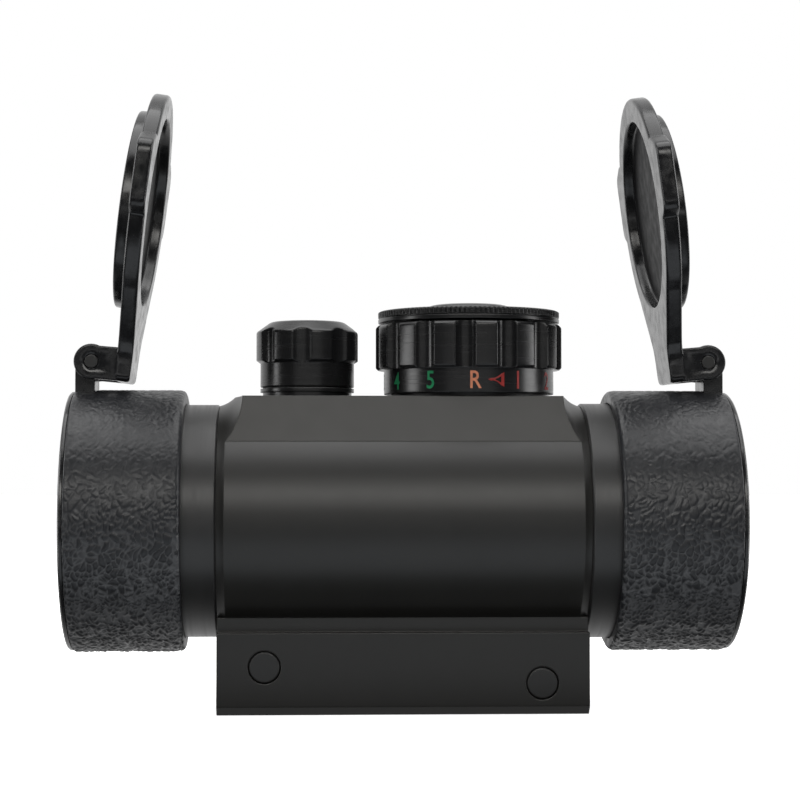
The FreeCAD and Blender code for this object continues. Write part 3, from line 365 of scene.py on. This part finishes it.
def rubber_skin():
    """Leather-grained rubber: fine skin lines over the modelled creases, which are painted paler as a painted
    highlight.
    """
    made = Finish("cover_rubber", (0.011, 0.012, 0.0145), 0.3, Specular_IOR_Level=0.38)
    made.tint(made.ranged(made.noise(7.0, detail=4.0), 0.0, 0.4), (0.024, 0.0245, 0.027))
    made.tint(made.ranged(made.noise(0.5), 0.0, 0.2), (0.04, 0.04, 0.04))
    # Painted highlight: the creases are painted paler, as lit ridges, most towards the underside.
    lines = made.node("ShaderNodeAttribute", attribute_name="crease").outputs["Fac"]
    made.tint(made.ranged(lines, 0.0, 0.8, start=0.25, stop=0.9), (0.1, 0.102, 0.107))
    made.vary_roughness(1.4, 0.3, 0.42)
    made.bump(made.noise(0.55, detail=4.0, distortion=0.6), 0.03)
    made.bump(made.noise(0.18, detail=2.0), 0.008)
    return made.material


def moulded(name, colour, roughness, grain=0.012, edge=0.3, specular=0.5):
    """Moulded plastic: slight orange peel and handling marks."""
    made = Finish(name, colour, roughness, edge=edge, Specular_IOR_Level=specular)
    made.tint(made.ranged(made.noise(6.0), 0.0, 0.5), shade(colour, 1.7, 0.003))
    made.vary_roughness(2.2, roughness - 0.06, roughness + 0.09)
    made.bump(made.noise(1.6, detail=2.0), grain)
    made.bump(made.noise(0.3, detail=1.0), grain * 0.12)
    return made.material


def steel(name, colour, roughness, edge=0.12):
    made = Finish(name, colour, roughness, edge=edge, Metallic=1.0)
    made.tint(made.ranged(made.noise(1.5, detail=4.0), 0.0, 0.5), shade(colour, 0.6))
    made.vary_roughness(0.6, roughness - 0.06, roughness + 0.1)
    made.bump(made.noise(0.12, stretch=(1, 6, 1)), 0.004)
    return made.material


def glass(name, tint, coating):
    """Coated optical glass: clear through, with the coating's colour towards grazing."""
    made = Finish(name, tint, 0.02, Transmission_Weight=1.0, IOR=1.5)
    facing = made.node("ShaderNodeLayerWeight")
    facing.inputs["Blend"].default_value = 0.35
    made.tint(made.ranged(facing.outputs["Facing"], 0.25, 1.0, start=0.0, stop=0.9), coating)
    made.vary_roughness(3.0, 0.005, 0.03)
    return made.material


def seal(name):
    made = Finish(name, (0.014, 0.014, 0.014), 0.55)
    made.tint(made.ranged(made.noise(1.0), 0.0, 0.5), (0.03, 0.03, 0.03))
    made.vary_roughness(0.8, 0.45, 0.65)
    made.bump(made.noise(0.2), 0.01)
    return made.material


def board():
    """Solder mask with copper tracks under it."""
    made = Finish("board_green", (0.01, 0.09, 0.03), 0.35)
    rings = made.node("ShaderNodeTexWave", wave_type="RINGS", rings_direction="Z")
    made.link(made.scaled(2.4), rings.inputs["Vector"])
    rings.inputs["Scale"].default_value = 1.0
    made.tint(made.ranged(rings.outputs[WAVE_VALUE], 0.0, 0.8, start=0.55, stop=0.7), (0.04, 0.2, 0.06))
    made.vary_roughness(2.0, 0.28, 0.42)
    made.bump(rings.outputs[WAVE_VALUE], 0.02)
    return made.material


def paint(name, colour):
    """Paint filled into the dial's marks, a little uneven."""
    made = Finish(name, colour, 0.45)
    made.tint(made.ranged(made.noise(0.5), 0.0, 0.5), shade(colour, 0.6))
    made.vary_roughness(0.6, 0.38, 0.55)
    made.bump(made.noise(0.15), 0.008)
    return made.material


TURRET_BLACK = (0.008, 0.008, 0.0085)
TURRET_ROUGHNESS = 0.24
RINGS_ROUND_X = (1, 40, 40)
RINGS_ROUND_Z = (30, 30, 1)
FINISHES = {
    "anodised_body": anodised("anodised_body", (0.0105, 0.0102, 0.0092), 0.38, 0.004),
    "anodised_bell": turned_metal("anodised_bell", (0.016, 0.016, 0.016), 0.36, RINGS_ROUND_X),
    "turret_black": turned_metal("turret_black", TURRET_BLACK, TURRET_ROUGHNESS, RINGS_ROUND_Z),
    "cover_rubber": rubber_skin(),
    "cover_plastic": moulded("cover_plastic", (0.007, 0.0072, 0.008), 0.2, grain=0.007),
    "black_steel": anodised("black_steel", (0.012, 0.012, 0.0118), 0.36, 0.003),
    "bright_steel": steel("bright_steel", (0.62, 0.61, 0.59), 0.22),
    "spring_steel": steel("spring_steel", (0.5, 0.5, 0.5), 0.25, edge=0.04),
    "brass": steel("brass", (0.72, 0.5, 0.2), 0.25),
    "optical_glass": glass("optical_glass", (0.86, 0.92, 0.95), (0.45, 0.35, 0.85)),
    "mirror_glass": glass("mirror_glass", (0.85, 0.55, 0.42), (0.9, 0.12, 0.08)),
    "seal_rubber": seal("seal_rubber"),
    "inner_plastic": moulded("inner_plastic", (0.012, 0.012, 0.012), 0.5),
    "board_green": board(),
    "emitter_epoxy": moulded("emitter_epoxy", (0.5, 0.03, 0.02), 0.1, grain=0.004),
    "battery_steel": turned_metal("battery_steel", (0.66, 0.66, 0.63), 0.28, RINGS_ROUND_Z, Metallic=1.0),
}
# Painted shade: the recess floor gets a darker, less glossy plastic, standing in for the shade in the recess.
RECESS_SHADE_FINISH = moulded("cover_recess_shade", (0.006, 0.006, 0.0065), 0.5, grain=0.004, specular=0.12)
KNURL_FINISH = turned_metal("turret_knurl", TURRET_BLACK, TURRET_ROUGHNESS, RINGS_ROUND_Z, edge=0.04)
GREEN_PAINT = paint("mark_green", (0.0, 0.21, 0.075))
RED_PAINT = paint("mark_red", (0.33, 0.015, 0.012))
AMBER_PAINT = paint("mark_amber", (0.72, 0.25, 0.13))


def dress_frame():
    """Give each node of the model the finish that its slot names."""
    slot_of = {}
    for part in frame["record"]["subparts"]:
        slot_of[part["node"]] = part["material_slot"]
    for name, node in frame["nodes"].items():
        node.data.materials.clear()
        node.data.materials.append(FINISHES[slot_of[name]])


# ---------------------------------------------------------------- leather-grained sleeves
SLEEVE_RADIUS = 24.35
SLEEVE_STOP = 60.35
SLEEVE_RING_END = 49.9
SLEEVE_OVER_RING = 23.35
NECK_GRIP = {"front": 21.65, "rear": 21.95}
SLEEVE_SPACING = 0.21
SLEEVE_COLUMNS = 700
SMOOTH_OVER_RING = 0.2
POST_NOTCH_HALF = 4.5
POST_NOTCH_START = 56.4
POST_NOTCH_SKIN = 0.04
PEBBLE_LENGTH = 1.35
PEBBLE_WIDTH = 0.95
PEBBLE_DENSITY = 1.15
PEBBLE_WARPS = ((0.9, 0.35), (2.3, 0.22), (4.1, 0.1))
CREASE_DEPTH = 0.34
CREASE_WIDTH = 0.22
CREASE_SHARPNESS = 1.3
CREASE_LEAST = 0.25
CREASE_RISE = (0.45, 1.2)
RIPPLE_DEPTH = 0.03
RIPPLE_RATES = (1.7, 0.5)


def leather(points, up, seed):
    """Depth of the skin's relief and how strongly each point's crease is painted paler as a painted highlight,
    both stronger towards the underside.

    The creases run where a point is as near to one random seed as to another. Up is the own axis that points
    up.
    """
    shape = points.shape[:2]
    random = np.random.RandomState(seed)
    stretched = points.reshape(-1, 3) * (1 / PEBBLE_LENGTH, 1 / PEBBLE_LENGTH, 1 / PEBBLE_WIDTH)
    warp = sum(np.sin(stretched[:, [1, 2, 0]] * rate + random.uniform(0, 6, 3)) * size
               for rate, size in PEBBLE_WARPS)
    stretched = stretched + warp
    low, high = stretched.min(0), stretched.max(0)
    radius = SLEEVE_RADIUS / PEBBLE_LENGTH
    area = 2 * math.pi * radius * (high[2] - low[2])
    seeds = random.uniform(low, high, (int(area * PEBBLE_DENSITY), 3))
    reach = np.hypot(seeds[:, 0], seeds[:, 1])
    seeds[:, :2] *= (radius / np.maximum(reach, 0.1))[:, None]
    tree = KDTree(len(seeds))
    for number, seed_point in enumerate(seeds):
        tree.insert(seed_point, number)
    tree.balance()
    gap = np.empty(len(stretched))
    for number, point in enumerate(stretched):
        nearest, second = tree.find_n(point, 2)
        gap[number] = second[2] - nearest[2]
    crease = np.exp(-((gap / CREASE_WIDTH) ** CREASE_SHARPNESS)).reshape(shape)
    height = points @ up / SLEEVE_RADIUS
    start, slope = CREASE_RISE
    strength = CREASE_LEAST + (1 - CREASE_LEAST) * np.clip(start - height * slope, 0, 1)
    along, across = RIPPLE_RATES
    ripple = RIPPLE_DEPTH * (1 + np.sin(points[..., 2] * along + points[..., 0] * across))
    # The second value sets the painted highlight along the creases.
    return (CREASE_DEPTH * crease + ripple) * strength, crease * strength


def build_sleeve(end):
    start = abs(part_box(f"{end}_cover_sleeve")[0 if end == "rear" else 1].x) / MM
    grip = NECK_GRIP[end]
    profile = rounded([
        (grip, start, 0.35), (grip, SLEEVE_RING_END, 0.1), (SLEEVE_OVER_RING, SLEEVE_RING_END, 0.1),
        (SLEEVE_OVER_RING, SLEEVE_STOP, 0.08), (SLEEVE_RADIUS, SLEEVE_STOP, 0.7), (SLEEVE_RADIUS, start, 1.5),
    ], closed=True, spacing=SLEEVE_SPACING)
    points = turned_points(profile, circle(SLEEVE_COLUMNS))
    up = np.array((-SIDE[end], 0, 0), float)
    reach = np.hypot(points[..., 0], points[..., 1])
    outer = reach > SLEEVE_OVER_RING + SMOOTH_OVER_RING
    depth, crease_highlight = leather(points, up, SEED + SIDE[end])
    wanted = reach - np.where(outer, depth, 0)
    notch = (np.abs(points[..., 1]) < POST_NOTCH_HALF) & (points[..., 2] > POST_NOTCH_START)
    notch &= points @ up > 0
    wanted = np.where(notch, np.minimum(wanted, SLEEVE_OVER_RING + POST_NOTCH_SKIN), wanted)
    points[..., :2] *= (wanted / reach)[..., None]
    # The mesh carries how strongly the creases are painted paler, a painted highlight.
    piece = grid_object(f"{end}_sleeve_skin", points, True, tube_end(end), np.where(outer, crease_highlight, 0))
    stands_for(piece, "housing", "cover_rubber", FINISHES["cover_rubber"], f"{end}_cover_sleeve")


# ---------------------------------------------------------------- lids
LID = {
    "pivot_height": 29.4, "inner": 4.5, "outer": 7.4, "radius": 22.0, "strap_half": 7.25, "strap_top": 2.9,
    "strap_shoulder": 3.0, "recess_radius": 17.6, "recess": 2.1, "recess_draft": 0.25, "recess_lip": 0.9,
    "recess_crown": 0.1, "plug_outer": 18.6, "plug_inner": 17.2, "plug_depth": 2.2, "plug_draft": 0.3,
    "plug_lead": 0.8, "tab_half": 5.75, "tab_offset": 4.1, "tab_reach": 24.6, "tab_foot": 19.8,
    "tab_shoulder": 2.2, "edge": 0.55, "rim": 1.5,
}
LID_OUTLINE_SPACING = 0.45
LID_FACE_SPACING = 1.2
LID_RIM_SPACING = 0.5
RECESS_SHADE_DEPTH = 0.2
RECESS_SHADE_MARGIN = 0.3
EAR_RADIUS = 3.25
EAR_BORE = 1.25
EAR_INNER = 4.65
EAR_OUTER = 7.25
EAR_FOOT = 0.6
EAR_EDGE = 0.35
EAR_EYE_CHAMFER = 0.2
EAR_SPACING = 0.6


def arc(radius, first, last, step=2.5):
    """Corners along part of a circle, angles in degrees from own +u, going down from first to last."""
    count = max(2, math.ceil(abs(last - first) / step))
    return [(radius * math.cos(math.radians(angle)), radius * math.sin(math.radians(angle)), 0)
            for angle in np.linspace(first, last, count)]


def lid_outline():
    """Right half from the strap's top down to the bottom, then its mirror image, about the disc's centre."""
    tab_top = LID["tab_half"] - LID["tab_offset"]
    tab_bottom = -LID["tab_half"] - LID["tab_offset"]
    foot = math.degrees(math.asin((tab_top + 0.6 * LID["tab_shoulder"]) / LID["radius"]))
    root = -math.degrees(math.asin((LID["tab_shoulder"] - tab_bottom) / LID["radius"]))
    right = [
        (LID["strap_half"], LID["pivot_height"] + LID["strap_top"], 1.1),
        (LID["strap_half"], LID["pivot_height"] - LID["strap_shoulder"], 2.5),
        *arc(LID["radius"], 45, foot),
        (LID["tab_reach"], tab_top, 1.8), (LID["tab_reach"], tab_bottom, 1.8),
        (LID["tab_foot"], tab_bottom - LID["tab_shoulder"], 0.8),
        *arc(LID["radius"], root, -89),
    ]
    left = [(-u, v, radius) for u, v, radius in reversed(right)]
    return rounded(right + left, closed=True, spacing=LID_OUTLINE_SPACING)


def lid_section():
    """Profile (radius, share of the outline, height) from the middle of the inner face round to the outer."""
    inner, outer, edge = LID["inner"], LID["outer"], LID["edge"]
    plug = inner - LID["plug_depth"]
    floor = outer - LID["recess"]
    draft, lead = LID["plug_draft"], LID["plug_lead"]
    fixed_inner = rounded([
        (0, inner, 0), (LID["plug_inner"] - draft, inner, 0.3), (LID["plug_inner"], plug + lead, 0.2),
        (LID["plug_inner"], plug, 0.3), (LID["plug_outer"] - draft / 2, plug, 0.35),
        (LID["plug_outer"], inner, 0.3), (LID["plug_outer"] + lead, inner, 0),
    ], spacing=LID_FACE_SPACING)
    rim = rounded([
        (-LID["rim"], inner, 0), (0, inner, edge), (0, outer, edge * 1.3), (-LID["rim"], outer, 0),
    ], spacing=LID_RIM_SPACING)
    fixed_outer = rounded([
        (LID["recess_radius"] + LID["recess_lip"], outer, 0), (LID["recess_radius"], outer, 0.35),
        (LID["recess_radius"] - LID["recess_draft"], floor, 0.5), (0, floor + LID["recess_crown"], 0),
    ], spacing=LID_FACE_SPACING)
    rows = [(radius, 0, height) for radius, height in fixed_inner]
    rows += [(offset, 1, height) for offset, height in rim]
    rows += [(radius, 0, height) for radius, height in fixed_outer]
    return np.array(rows, float)


def build_lid(end):
    """Plate, plug ring and recess as one solid, with two ears. Drawn shut: own +X points outwards."""
    shell = star_points(lid_section(), lid_outline())
    shut = np.stack((shell[..., 2], shell[..., 0], shell[..., 1] - LID["pivot_height"]), axis=-1)
    plate = grid_object(f"{end}_lid_shell", shut, False, lid_place(end))
    mark_recess(plate, lid_place(end).inverted())
    ears = [build_ear(f"{end}_ear", side, lid_place(end)) for side in (-1, 1)]
    join(plate, ears)
    stands_for(plate, f"{end}_lid", "cover_plastic", FINISHES["cover_plastic"], f"{end}_lid")
    # The second finish is the painted shade on the recess floor.
    plate.data.materials.append(RECESS_SHADE_FINISH)


def mark_recess(plate, to_own):
    """Give the floor of the recess the second finish, darker and duller than the lid: painted shade in the recess.
    """
    floor = LID["outer"] - LID["recess"]
    for face in plate.data.polygons:
        spot = to_own @ face.center
        out = math.hypot(spot.y, spot.z + LID["pivot_height"])
        if spot.x > floor - RECESS_SHADE_DEPTH and out < LID["recess_radius"] - RECESS_SHADE_MARGIN:
            face.material_index = 1


def build_ear(name, side, matrix):
    """Ear with a rounded eye round the pin, its arm running into the strap."""
    foot = LID["inner"] + EAR_FOOT
    outline = rounded([
        (foot, -EAR_RADIUS, 0.3), (foot, LID["strap_top"], 0.3),
        *arc(EAR_RADIUS, 70, 290, step=9),
    ], closed=True, spacing=EAR_SPACING)
    half = (EAR_OUTER - EAR_INNER) / 2
    rim = rounded([
        (-1.0, -half, 0), (0, -half, EAR_EDGE), (0, half, EAR_EDGE), (-1.0, half, 0),
    ], spacing=EAR_SPACING)
    chamfer = EAR_EYE_CHAMFER
    rows = [(EAR_BORE, 0, half - chamfer), (EAR_BORE, 0, chamfer - half), (EAR_BORE + chamfer, 0, -half)]
    rows += [(offset, 1, height) for offset, height in rim]
    rows += [(EAR_BORE + chamfer, 0, half)]
    points = star_points(np.array(rows, float), outline)
    middle_y = (EAR_OUTER + EAR_INNER) / 2 * side
    ear = np.stack((points[..., 0], points[..., 2] + middle_y, points[..., 1]), axis=-1)
    return grid_object(name, ear, True, matrix)


def join(main, others):
    """Move the others' meshes into the main piece as separate shells."""
    gathered = bmesh.new()
    for piece in (main, *others):
        gathered.from_mesh(piece.data)
    gathered.to_mesh(main.data)
    gathered.free()
    for piece in others:
        bpy.data.objects.remove(piece)
    main.data.shade_smooth()


# ---------------------------------------------------------------- knobs
CAP_PROFILE = [
    (0, 33.6, 0), (6.7, 33.6, 0.2), (6.7, 24.85, 0.15), (8.75, 24.85, 0.2), (8.75, 29.3, 0.12),
    (9.55, 29.8, 0.15), (9.55, 35.1, 0.35), (6.8, 37.1, 0.6), (0, 37.4, 0),
]
DIAL_PROFILE = [
    (14.7, 23.55, 0.1), (15.9, 23.55, 0.15), (15.9, 28.1, 0.1), (17.05, 28.1, 0.12), (17.45, 28.5, 0.15),
    (17.45, 36.0, 0.25), (16.85, 36.6, 0.25), (13.1, 36.6, 0.1), (13.1, 35.65, 0.05), (11.4, 35.65, 0.05),
    (11.4, 27.0, 0.05), (14.7, 27.0, 0.05),
]
BATTERY_CAP_PROFILE = [
    (0, 35.05, 0), (10.1, 35.05, 0.15), (10.1, 36.9, 0.05), (17.0, 36.9, 0.12), (17.0, 37.62, 0.12),
    (16.7, 37.68, 0.04), (16.7, 37.8, 0.04), (17.0, 37.86, 0.08), (17.0, 38.9, 0.15), (16.6, 39.1, 0.15),
    (8.2, 39.1, 0.3), (7.8, 40.0, 0.5), (6.6, 40.38, 0.6), (0, 40.5, 0),
]
NUT_PROFILE = [
    (2.52, 16.1, 0.1), (5.5, 16.1, 0.25), (5.5, 21.6, 0.15), (5.0, 22.1, 0.15), (2.52, 22.1, 0.1),
]
CAP_FLUTES = {"count": 8, "turn": -5.4, "centre": 11.65, "radius": 2.9, "low": 29.32, "high": 37.3}
DIAL_FLUTES = {"count": 14, "turn": -6.0, "centre": 18.0, "radius": 2.05, "low": 28.12, "high": 36.7}
NUT_FLUTES = {"count": 10, "turn": 180, "centre": 5.86, "radius": 0.9, "low": 16.0, "high": 22.2}
CAP_COLUMNS = 480
DIAL_COLUMNS = 840
NUT_COLUMNS = 300
KNOB_SPACING = 0.35
BATTERY_CAP_SPACING = 0.22
NUT_SPACING = 0.3
DIAL_BORE_SIDE = 15.5
NUT_BORE_SIDE = 4.0
KNURL_COUNT = 120
KNURL_COLUMNS = 8
KNURL_DEPTH = 0.32
KNURL_BAND = (37.88, 39.0)
KNURL_INSIDE = 16.5
KNURL_FLATNESS = 1.25
COIN_SLOT_HALF = 6.0
COIN_SLOT_HALF_WIDTH = 0.75
COIN_SLOT_DEPTH = 1.15
COIN_SLOT_EDGE = 0.22
COIN_BOSS_HEIGHT = 0.6


def build_cap(name, body, matrix):
    points = turned_points(rounded(CAP_PROFILE, spacing=KNOB_SPACING), circle(CAP_COLUMNS))
    cut_flutes(points, **CAP_FLUTES)
    piece = grid_object(f"{name}_shell", points, False, matrix)
    stands_for(piece, body, "turret_black", FINISHES["turret_black"], name)


def build_dial():
    profile = rounded(DIAL_PROFILE, closed=True, spacing=KNOB_SPACING)
    points = turned_points(profile, circle(DIAL_COLUMNS))
    outside = np.hypot(points[..., 0], points[..., 1]) > DIAL_BORE_SIDE
    kept = points.copy()
    cut_flutes(points, **DIAL_FLUTES)
    points = np.where(outside[..., None], points, kept)
    piece = grid_object("brightness_dial_shell", points, True, DIAL)
    stands_for(piece, "dial", "turret_black", FINISHES["turret_black"], "brightness_dial")


def build_battery_cap():
    profile = rounded(BATTERY_CAP_PROFILE, spacing=BATTERY_CAP_SPACING)
    points = turned_points(profile, circle(KNURL_COUNT * KNURL_COLUMNS))
    angle = np.arctan2(points[..., 1], points[..., 0])
    reach = np.hypot(points[..., 0], points[..., 1])
    low, high = KNURL_BAND
    banded = (points[..., 2] > low) & (points[..., 2] < high) & (reach > KNURL_INSIDE)
    ridge = np.clip(KNURL_FLATNESS * np.abs(np.sin(angle * KNURL_COUNT / 2)), 0, 1)
    cut = np.where(banded, reach - KNURL_DEPTH * (1 - ridge), reach)
    points[..., :2] *= (cut / np.maximum(reach, TINY))[..., None]
    out_of_slot = np.maximum(np.abs(points[..., 0]) - COIN_SLOT_HALF,
                             np.abs(points[..., 1]) - COIN_SLOT_HALF_WIDTH)
    inside = np.clip(-out_of_slot / COIN_SLOT_EDGE + 0.5, 0, 1)
    on_top = points[..., 2] > BATTERY_CAP_PROFILE[-1][1] - COIN_BOSS_HEIGHT
    points[..., 2] -= np.where(on_top, COIN_SLOT_DEPTH * inside, 0)
    piece = grid_object("battery_cap_shell", points, False, DIAL)
    stands_for(piece, "battery_cap", "turret_black", KNURL_FINISH, "battery_cap")


def build_nut(end):
    centre = middle(f"{end}_clamp_nut")
    matrix = place(centre.x, 0, centre.z, ALONG_Y)
    points = turned_points(rounded(NUT_PROFILE, closed=True, spacing=NUT_SPACING), circle(NUT_COLUMNS))
    outside = np.hypot(points[..., 0], points[..., 1]) > NUT_BORE_SIDE
    kept = points.copy()
    cut_flutes(points, **NUT_FLUTES)
    points = np.where(outside[..., None], points, kept)
    piece = grid_object(f"{end}_nut_shell", points, True, matrix)
    stands_for(piece, f"{end}_nut", "black_steel", FINISHES["black_steel"], f"{end}_clamp_nut")


# ---------------------------------------------------------------- marks on the dial
MARK_RADIUS = 15.945
MARK_HEIGHT = 25.85
DIGIT_HEIGHT = 3.2
SIZE_PER_HEIGHT = 1.42
STROKE_GAIN = 0.05
CURVE_STEPS = 5
DIGIT_SQUEEZE = 0.82
MARK_STEP = 30
FACING_BACK = 180
POINTER = [(-1.8, 0), (1.3, -1.3), (1.3, 1.3)]
POINTER_OPENING = [(-0.5, 0), (0.7, -0.55), (0.7, 0.55)]


def glyph(letter):
    """Flat mesh of one letter, centred on the origin, in millimetres."""
    text = bpy.data.curves.new("glyph", "FONT")
    text.body = letter
    text.align_x = "CENTER"
    text.align_y = "CENTER"
    text.size = DIGIT_HEIGHT * SIZE_PER_HEIGHT
    text.offset = STROKE_GAIN
    text.resolution_u = CURVE_STEPS
    holder = bpy.data.objects.new("glyph", text)
    bpy.context.scene.collection.objects.link(holder)
    bpy.context.view_layer.update()
    evaluated = holder.evaluated_get(bpy.context.evaluated_depsgraph_get())
    flat = bpy.data.meshes.new_from_object(evaluated)
    bpy.data.objects.remove(holder)
    points = np.array([vertex.co for vertex in flat.vertices])
    points[:, 0] *= DIGIT_SQUEEZE
    points[:, 1] -= (points[:, 1].max() + points[:, 1].min()) / 2
    return points, [list(face.vertices) for face in flat.polygons]


def triangle():
    """Pointer that points to own -X, with an open middle."""
    points = np.array([(*point, 0) for point in POINTER + POINTER_OPENING], float)
    faces = [[0, 1, 4, 3], [1, 2, 5, 4], [2, 0, 3, 5]]
    return points, faces


def bent_marks(name, marks, finish):
    """One object of (shape, angle) marks laid round the skirt.

    Angle 0 faces own -Y and grows towards own +X.
    """
    vertices = []
    faces = []
    for (points, polygons), angle in marks:
        turn = math.radians(angle) + points[:, 0] / MARK_RADIUS
        flat = (MARK_RADIUS * np.sin(turn), -MARK_RADIUS * np.cos(turn))
        bent = np.stack((*flat, points[:, 1] + MARK_HEIGHT), axis=1)
        faces += [[number + len(vertices) for number in polygon] for polygon in polygons]
        vertices += bent.tolist()
    mesh = bpy.data.meshes.new(name)
    mesh.from_pydata(vertices, [], faces)
    mesh.transform(DIAL)
    piece = bpy.data.objects.new(name, mesh)
    bpy.context.scene.collection.objects.link(piece)
    stands_for(piece, "dial", "turret_black", finish)


def build_marks():
    """R and its red digits start at the camera's side, and G and its green digits at the back."""
    red = [(glyph(str(digit)), MARK_STEP * digit) for digit in range(1, 6)]
    red.append((triangle(), MARK_STEP / 2))
    green = [(glyph(str(digit)), -MARK_STEP * (6 - digit)) for digit in range(1, 6)]
    green.append((glyph("G"), FACING_BACK))
    green.append((triangle(), FACING_BACK + MARK_STEP / 2))
    bent_marks("marks_red", red, RED_PAINT)
    bent_marks("marks_green", green, GREEN_PAINT)
    bent_marks("marks_amber", [(glyph("R"), 0)], AMBER_PAINT)


# ---------------------------------------------------------------- studio
CAMERA_PLACE = (-0.017, -0.400, 0.0386)
LENS = 96.0
NEAREST = 0.01
FLOOR_GAP = 0.0001
FLOOR_GLOW = 0.86
FLOOR_PROFILE = [(0.0, 0.0), (400.0, 0.0), (3000.0, 0.0)]
FLOOR_COLUMNS = 64
WORLD_BY_DEPTH = {"From Min": -0.15, "From Max": 0.55, "To Min": 0.05, "To Max": 0.9}
LIT_POINT = (0, 0, 0.04)
LIGHTS = {
    "top_softbox": {"spot": (0.0, -0.05, 0.62), "size": (0.75, 0.5), "power": 3.2},
    "left_panel": {"spot": (-0.5, 0.0, 0.12), "size": (0.25, 0.5), "power": 1.6},
    "right_panel": {"spot": (0.5, 0.0, 0.12), "size": (0.25, 0.5), "power": 1.6},
    "front_key": {"spot": (0.0, -0.62, 0.34), "size": (0.7, 0.16), "power": 1.75,
                  "colour": (1.0, 0.985, 0.95)},
    "front_fill": {"spot": (0.0, -0.7, 0.03), "size": (0.9, 0.06), "power": 0.2, "aim": (0, 0, 0.03)},
    "table_bounce": {"spot": (0.0, -0.085, -0.005), "size": (0.2, 0.09), "power": 0.045,
                     "aim": (0, -0.085, 0.1), "colour": (0.9, 0.95, 1.0)},
}


def build_floor():
    """Pale floor just under the object, seen by the camera but not mirrored in the object."""
    white = (1, 1, 1, 1)
    made = Finish("floor", (0.93, 0.93, 0.93), 0.9, Emission_Color=white, Emission_Strength=FLOOR_GLOW)
    made.tint(made.ranged(made.noise(40.0), 0.0, 0.3), (0.9, 0.9, 0.9))
    points = turned_points(np.array(FLOOR_PROFILE), circle(FLOOR_COLUMNS))
    floor = grid_object("floor", points, False, place(0, 0, cad_box[0].z - FLOOR_GAP, UPRIGHT))
    floor.data.materials.append(made.material)
    floor.visible_glossy = False
    floor.visible_diffuse = False


def area_light(name, spot, size, power, aim=LIT_POINT, colour=(1, 1, 1)):
    light = bpy.data.lights.new(name, "AREA")
    light.shape = "RECTANGLE"
    light.size, light.size_y = size
    light.energy = power
    light.color = colour
    lamp = bpy.data.objects.new(name, light)
    lamp.location = spot
    lamp.rotation_euler = (Vector(aim) - Vector(spot)).to_track_quat("-Z", "Y").to_euler()
    bpy.context.scene.collection.objects.link(lamp)


def build_world():
    """White backdrop for the camera. Surfaces see it white behind the object and dark in front of it."""
    world = bpy.data.worlds.new("studio")
    bpy.context.scene.world = world
    world.use_nodes = True
    tree = world.node_tree
    backdrop = tree.nodes["Background"]
    backdrop.inputs["Color"].default_value = (1, 1, 1, 1)
    direction = tree.nodes.new("ShaderNodeTexCoord")
    parts = tree.nodes.new("ShaderNodeSeparateXYZ")
    tree.links.new(direction.outputs["Generated"], parts.inputs["Vector"])
    depth = tree.nodes.new("ShaderNodeMapRange")
    for socket, value in WORLD_BY_DEPTH.items():
        depth.inputs[socket].default_value = value
    tree.links.new(parts.outputs["Y"], depth.inputs["Value"])
    ray = tree.nodes.new("ShaderNodeLightPath")
    strength = tree.nodes.new("ShaderNodeMath")
    strength.operation = "MAXIMUM"
    tree.links.new(ray.outputs["Is Camera Ray"], strength.inputs[0])
    tree.links.new(depth.outputs["Result"], strength.inputs[1])
    tree.links.new(strength.outputs["Value"], backdrop.inputs["Strength"])


def build_camera():
    camera = bpy.data.objects.new("camera", bpy.data.cameras.new("camera"))
    camera.data.lens = LENS
    camera.data.clip_start = NEAREST
    camera.location = CAMERA_PLACE
    low, high = cad_box
    target = Vector(((low.x + high.x) / 2, 0, (low.z + high.z) / 2))
    aim = target - Vector(CAMERA_PLACE)
    camera.rotation_euler = aim.to_track_quat("-Z", "Y").to_euler()
    bpy.context.scene.collection.objects.link(camera)
    bpy.context.scene.camera = camera


build_camera()
build_world()
build_floor()
for light_name, settings in LIGHTS.items():
    area_light(light_name, **settings)
bpy.context.scene.view_settings.view_transform = "Standard"

dress_frame()
for which in ("front", "rear"):
    build_sleeve(which)
    build_lid(which)
    build_nut(which)
build_cap("elevation_cap", "elevation_cap", ELEVATION)
build_cap("windage_cap", "windage_cap", WINDAGE)
build_dial()
build_battery_cap()
build_marks()
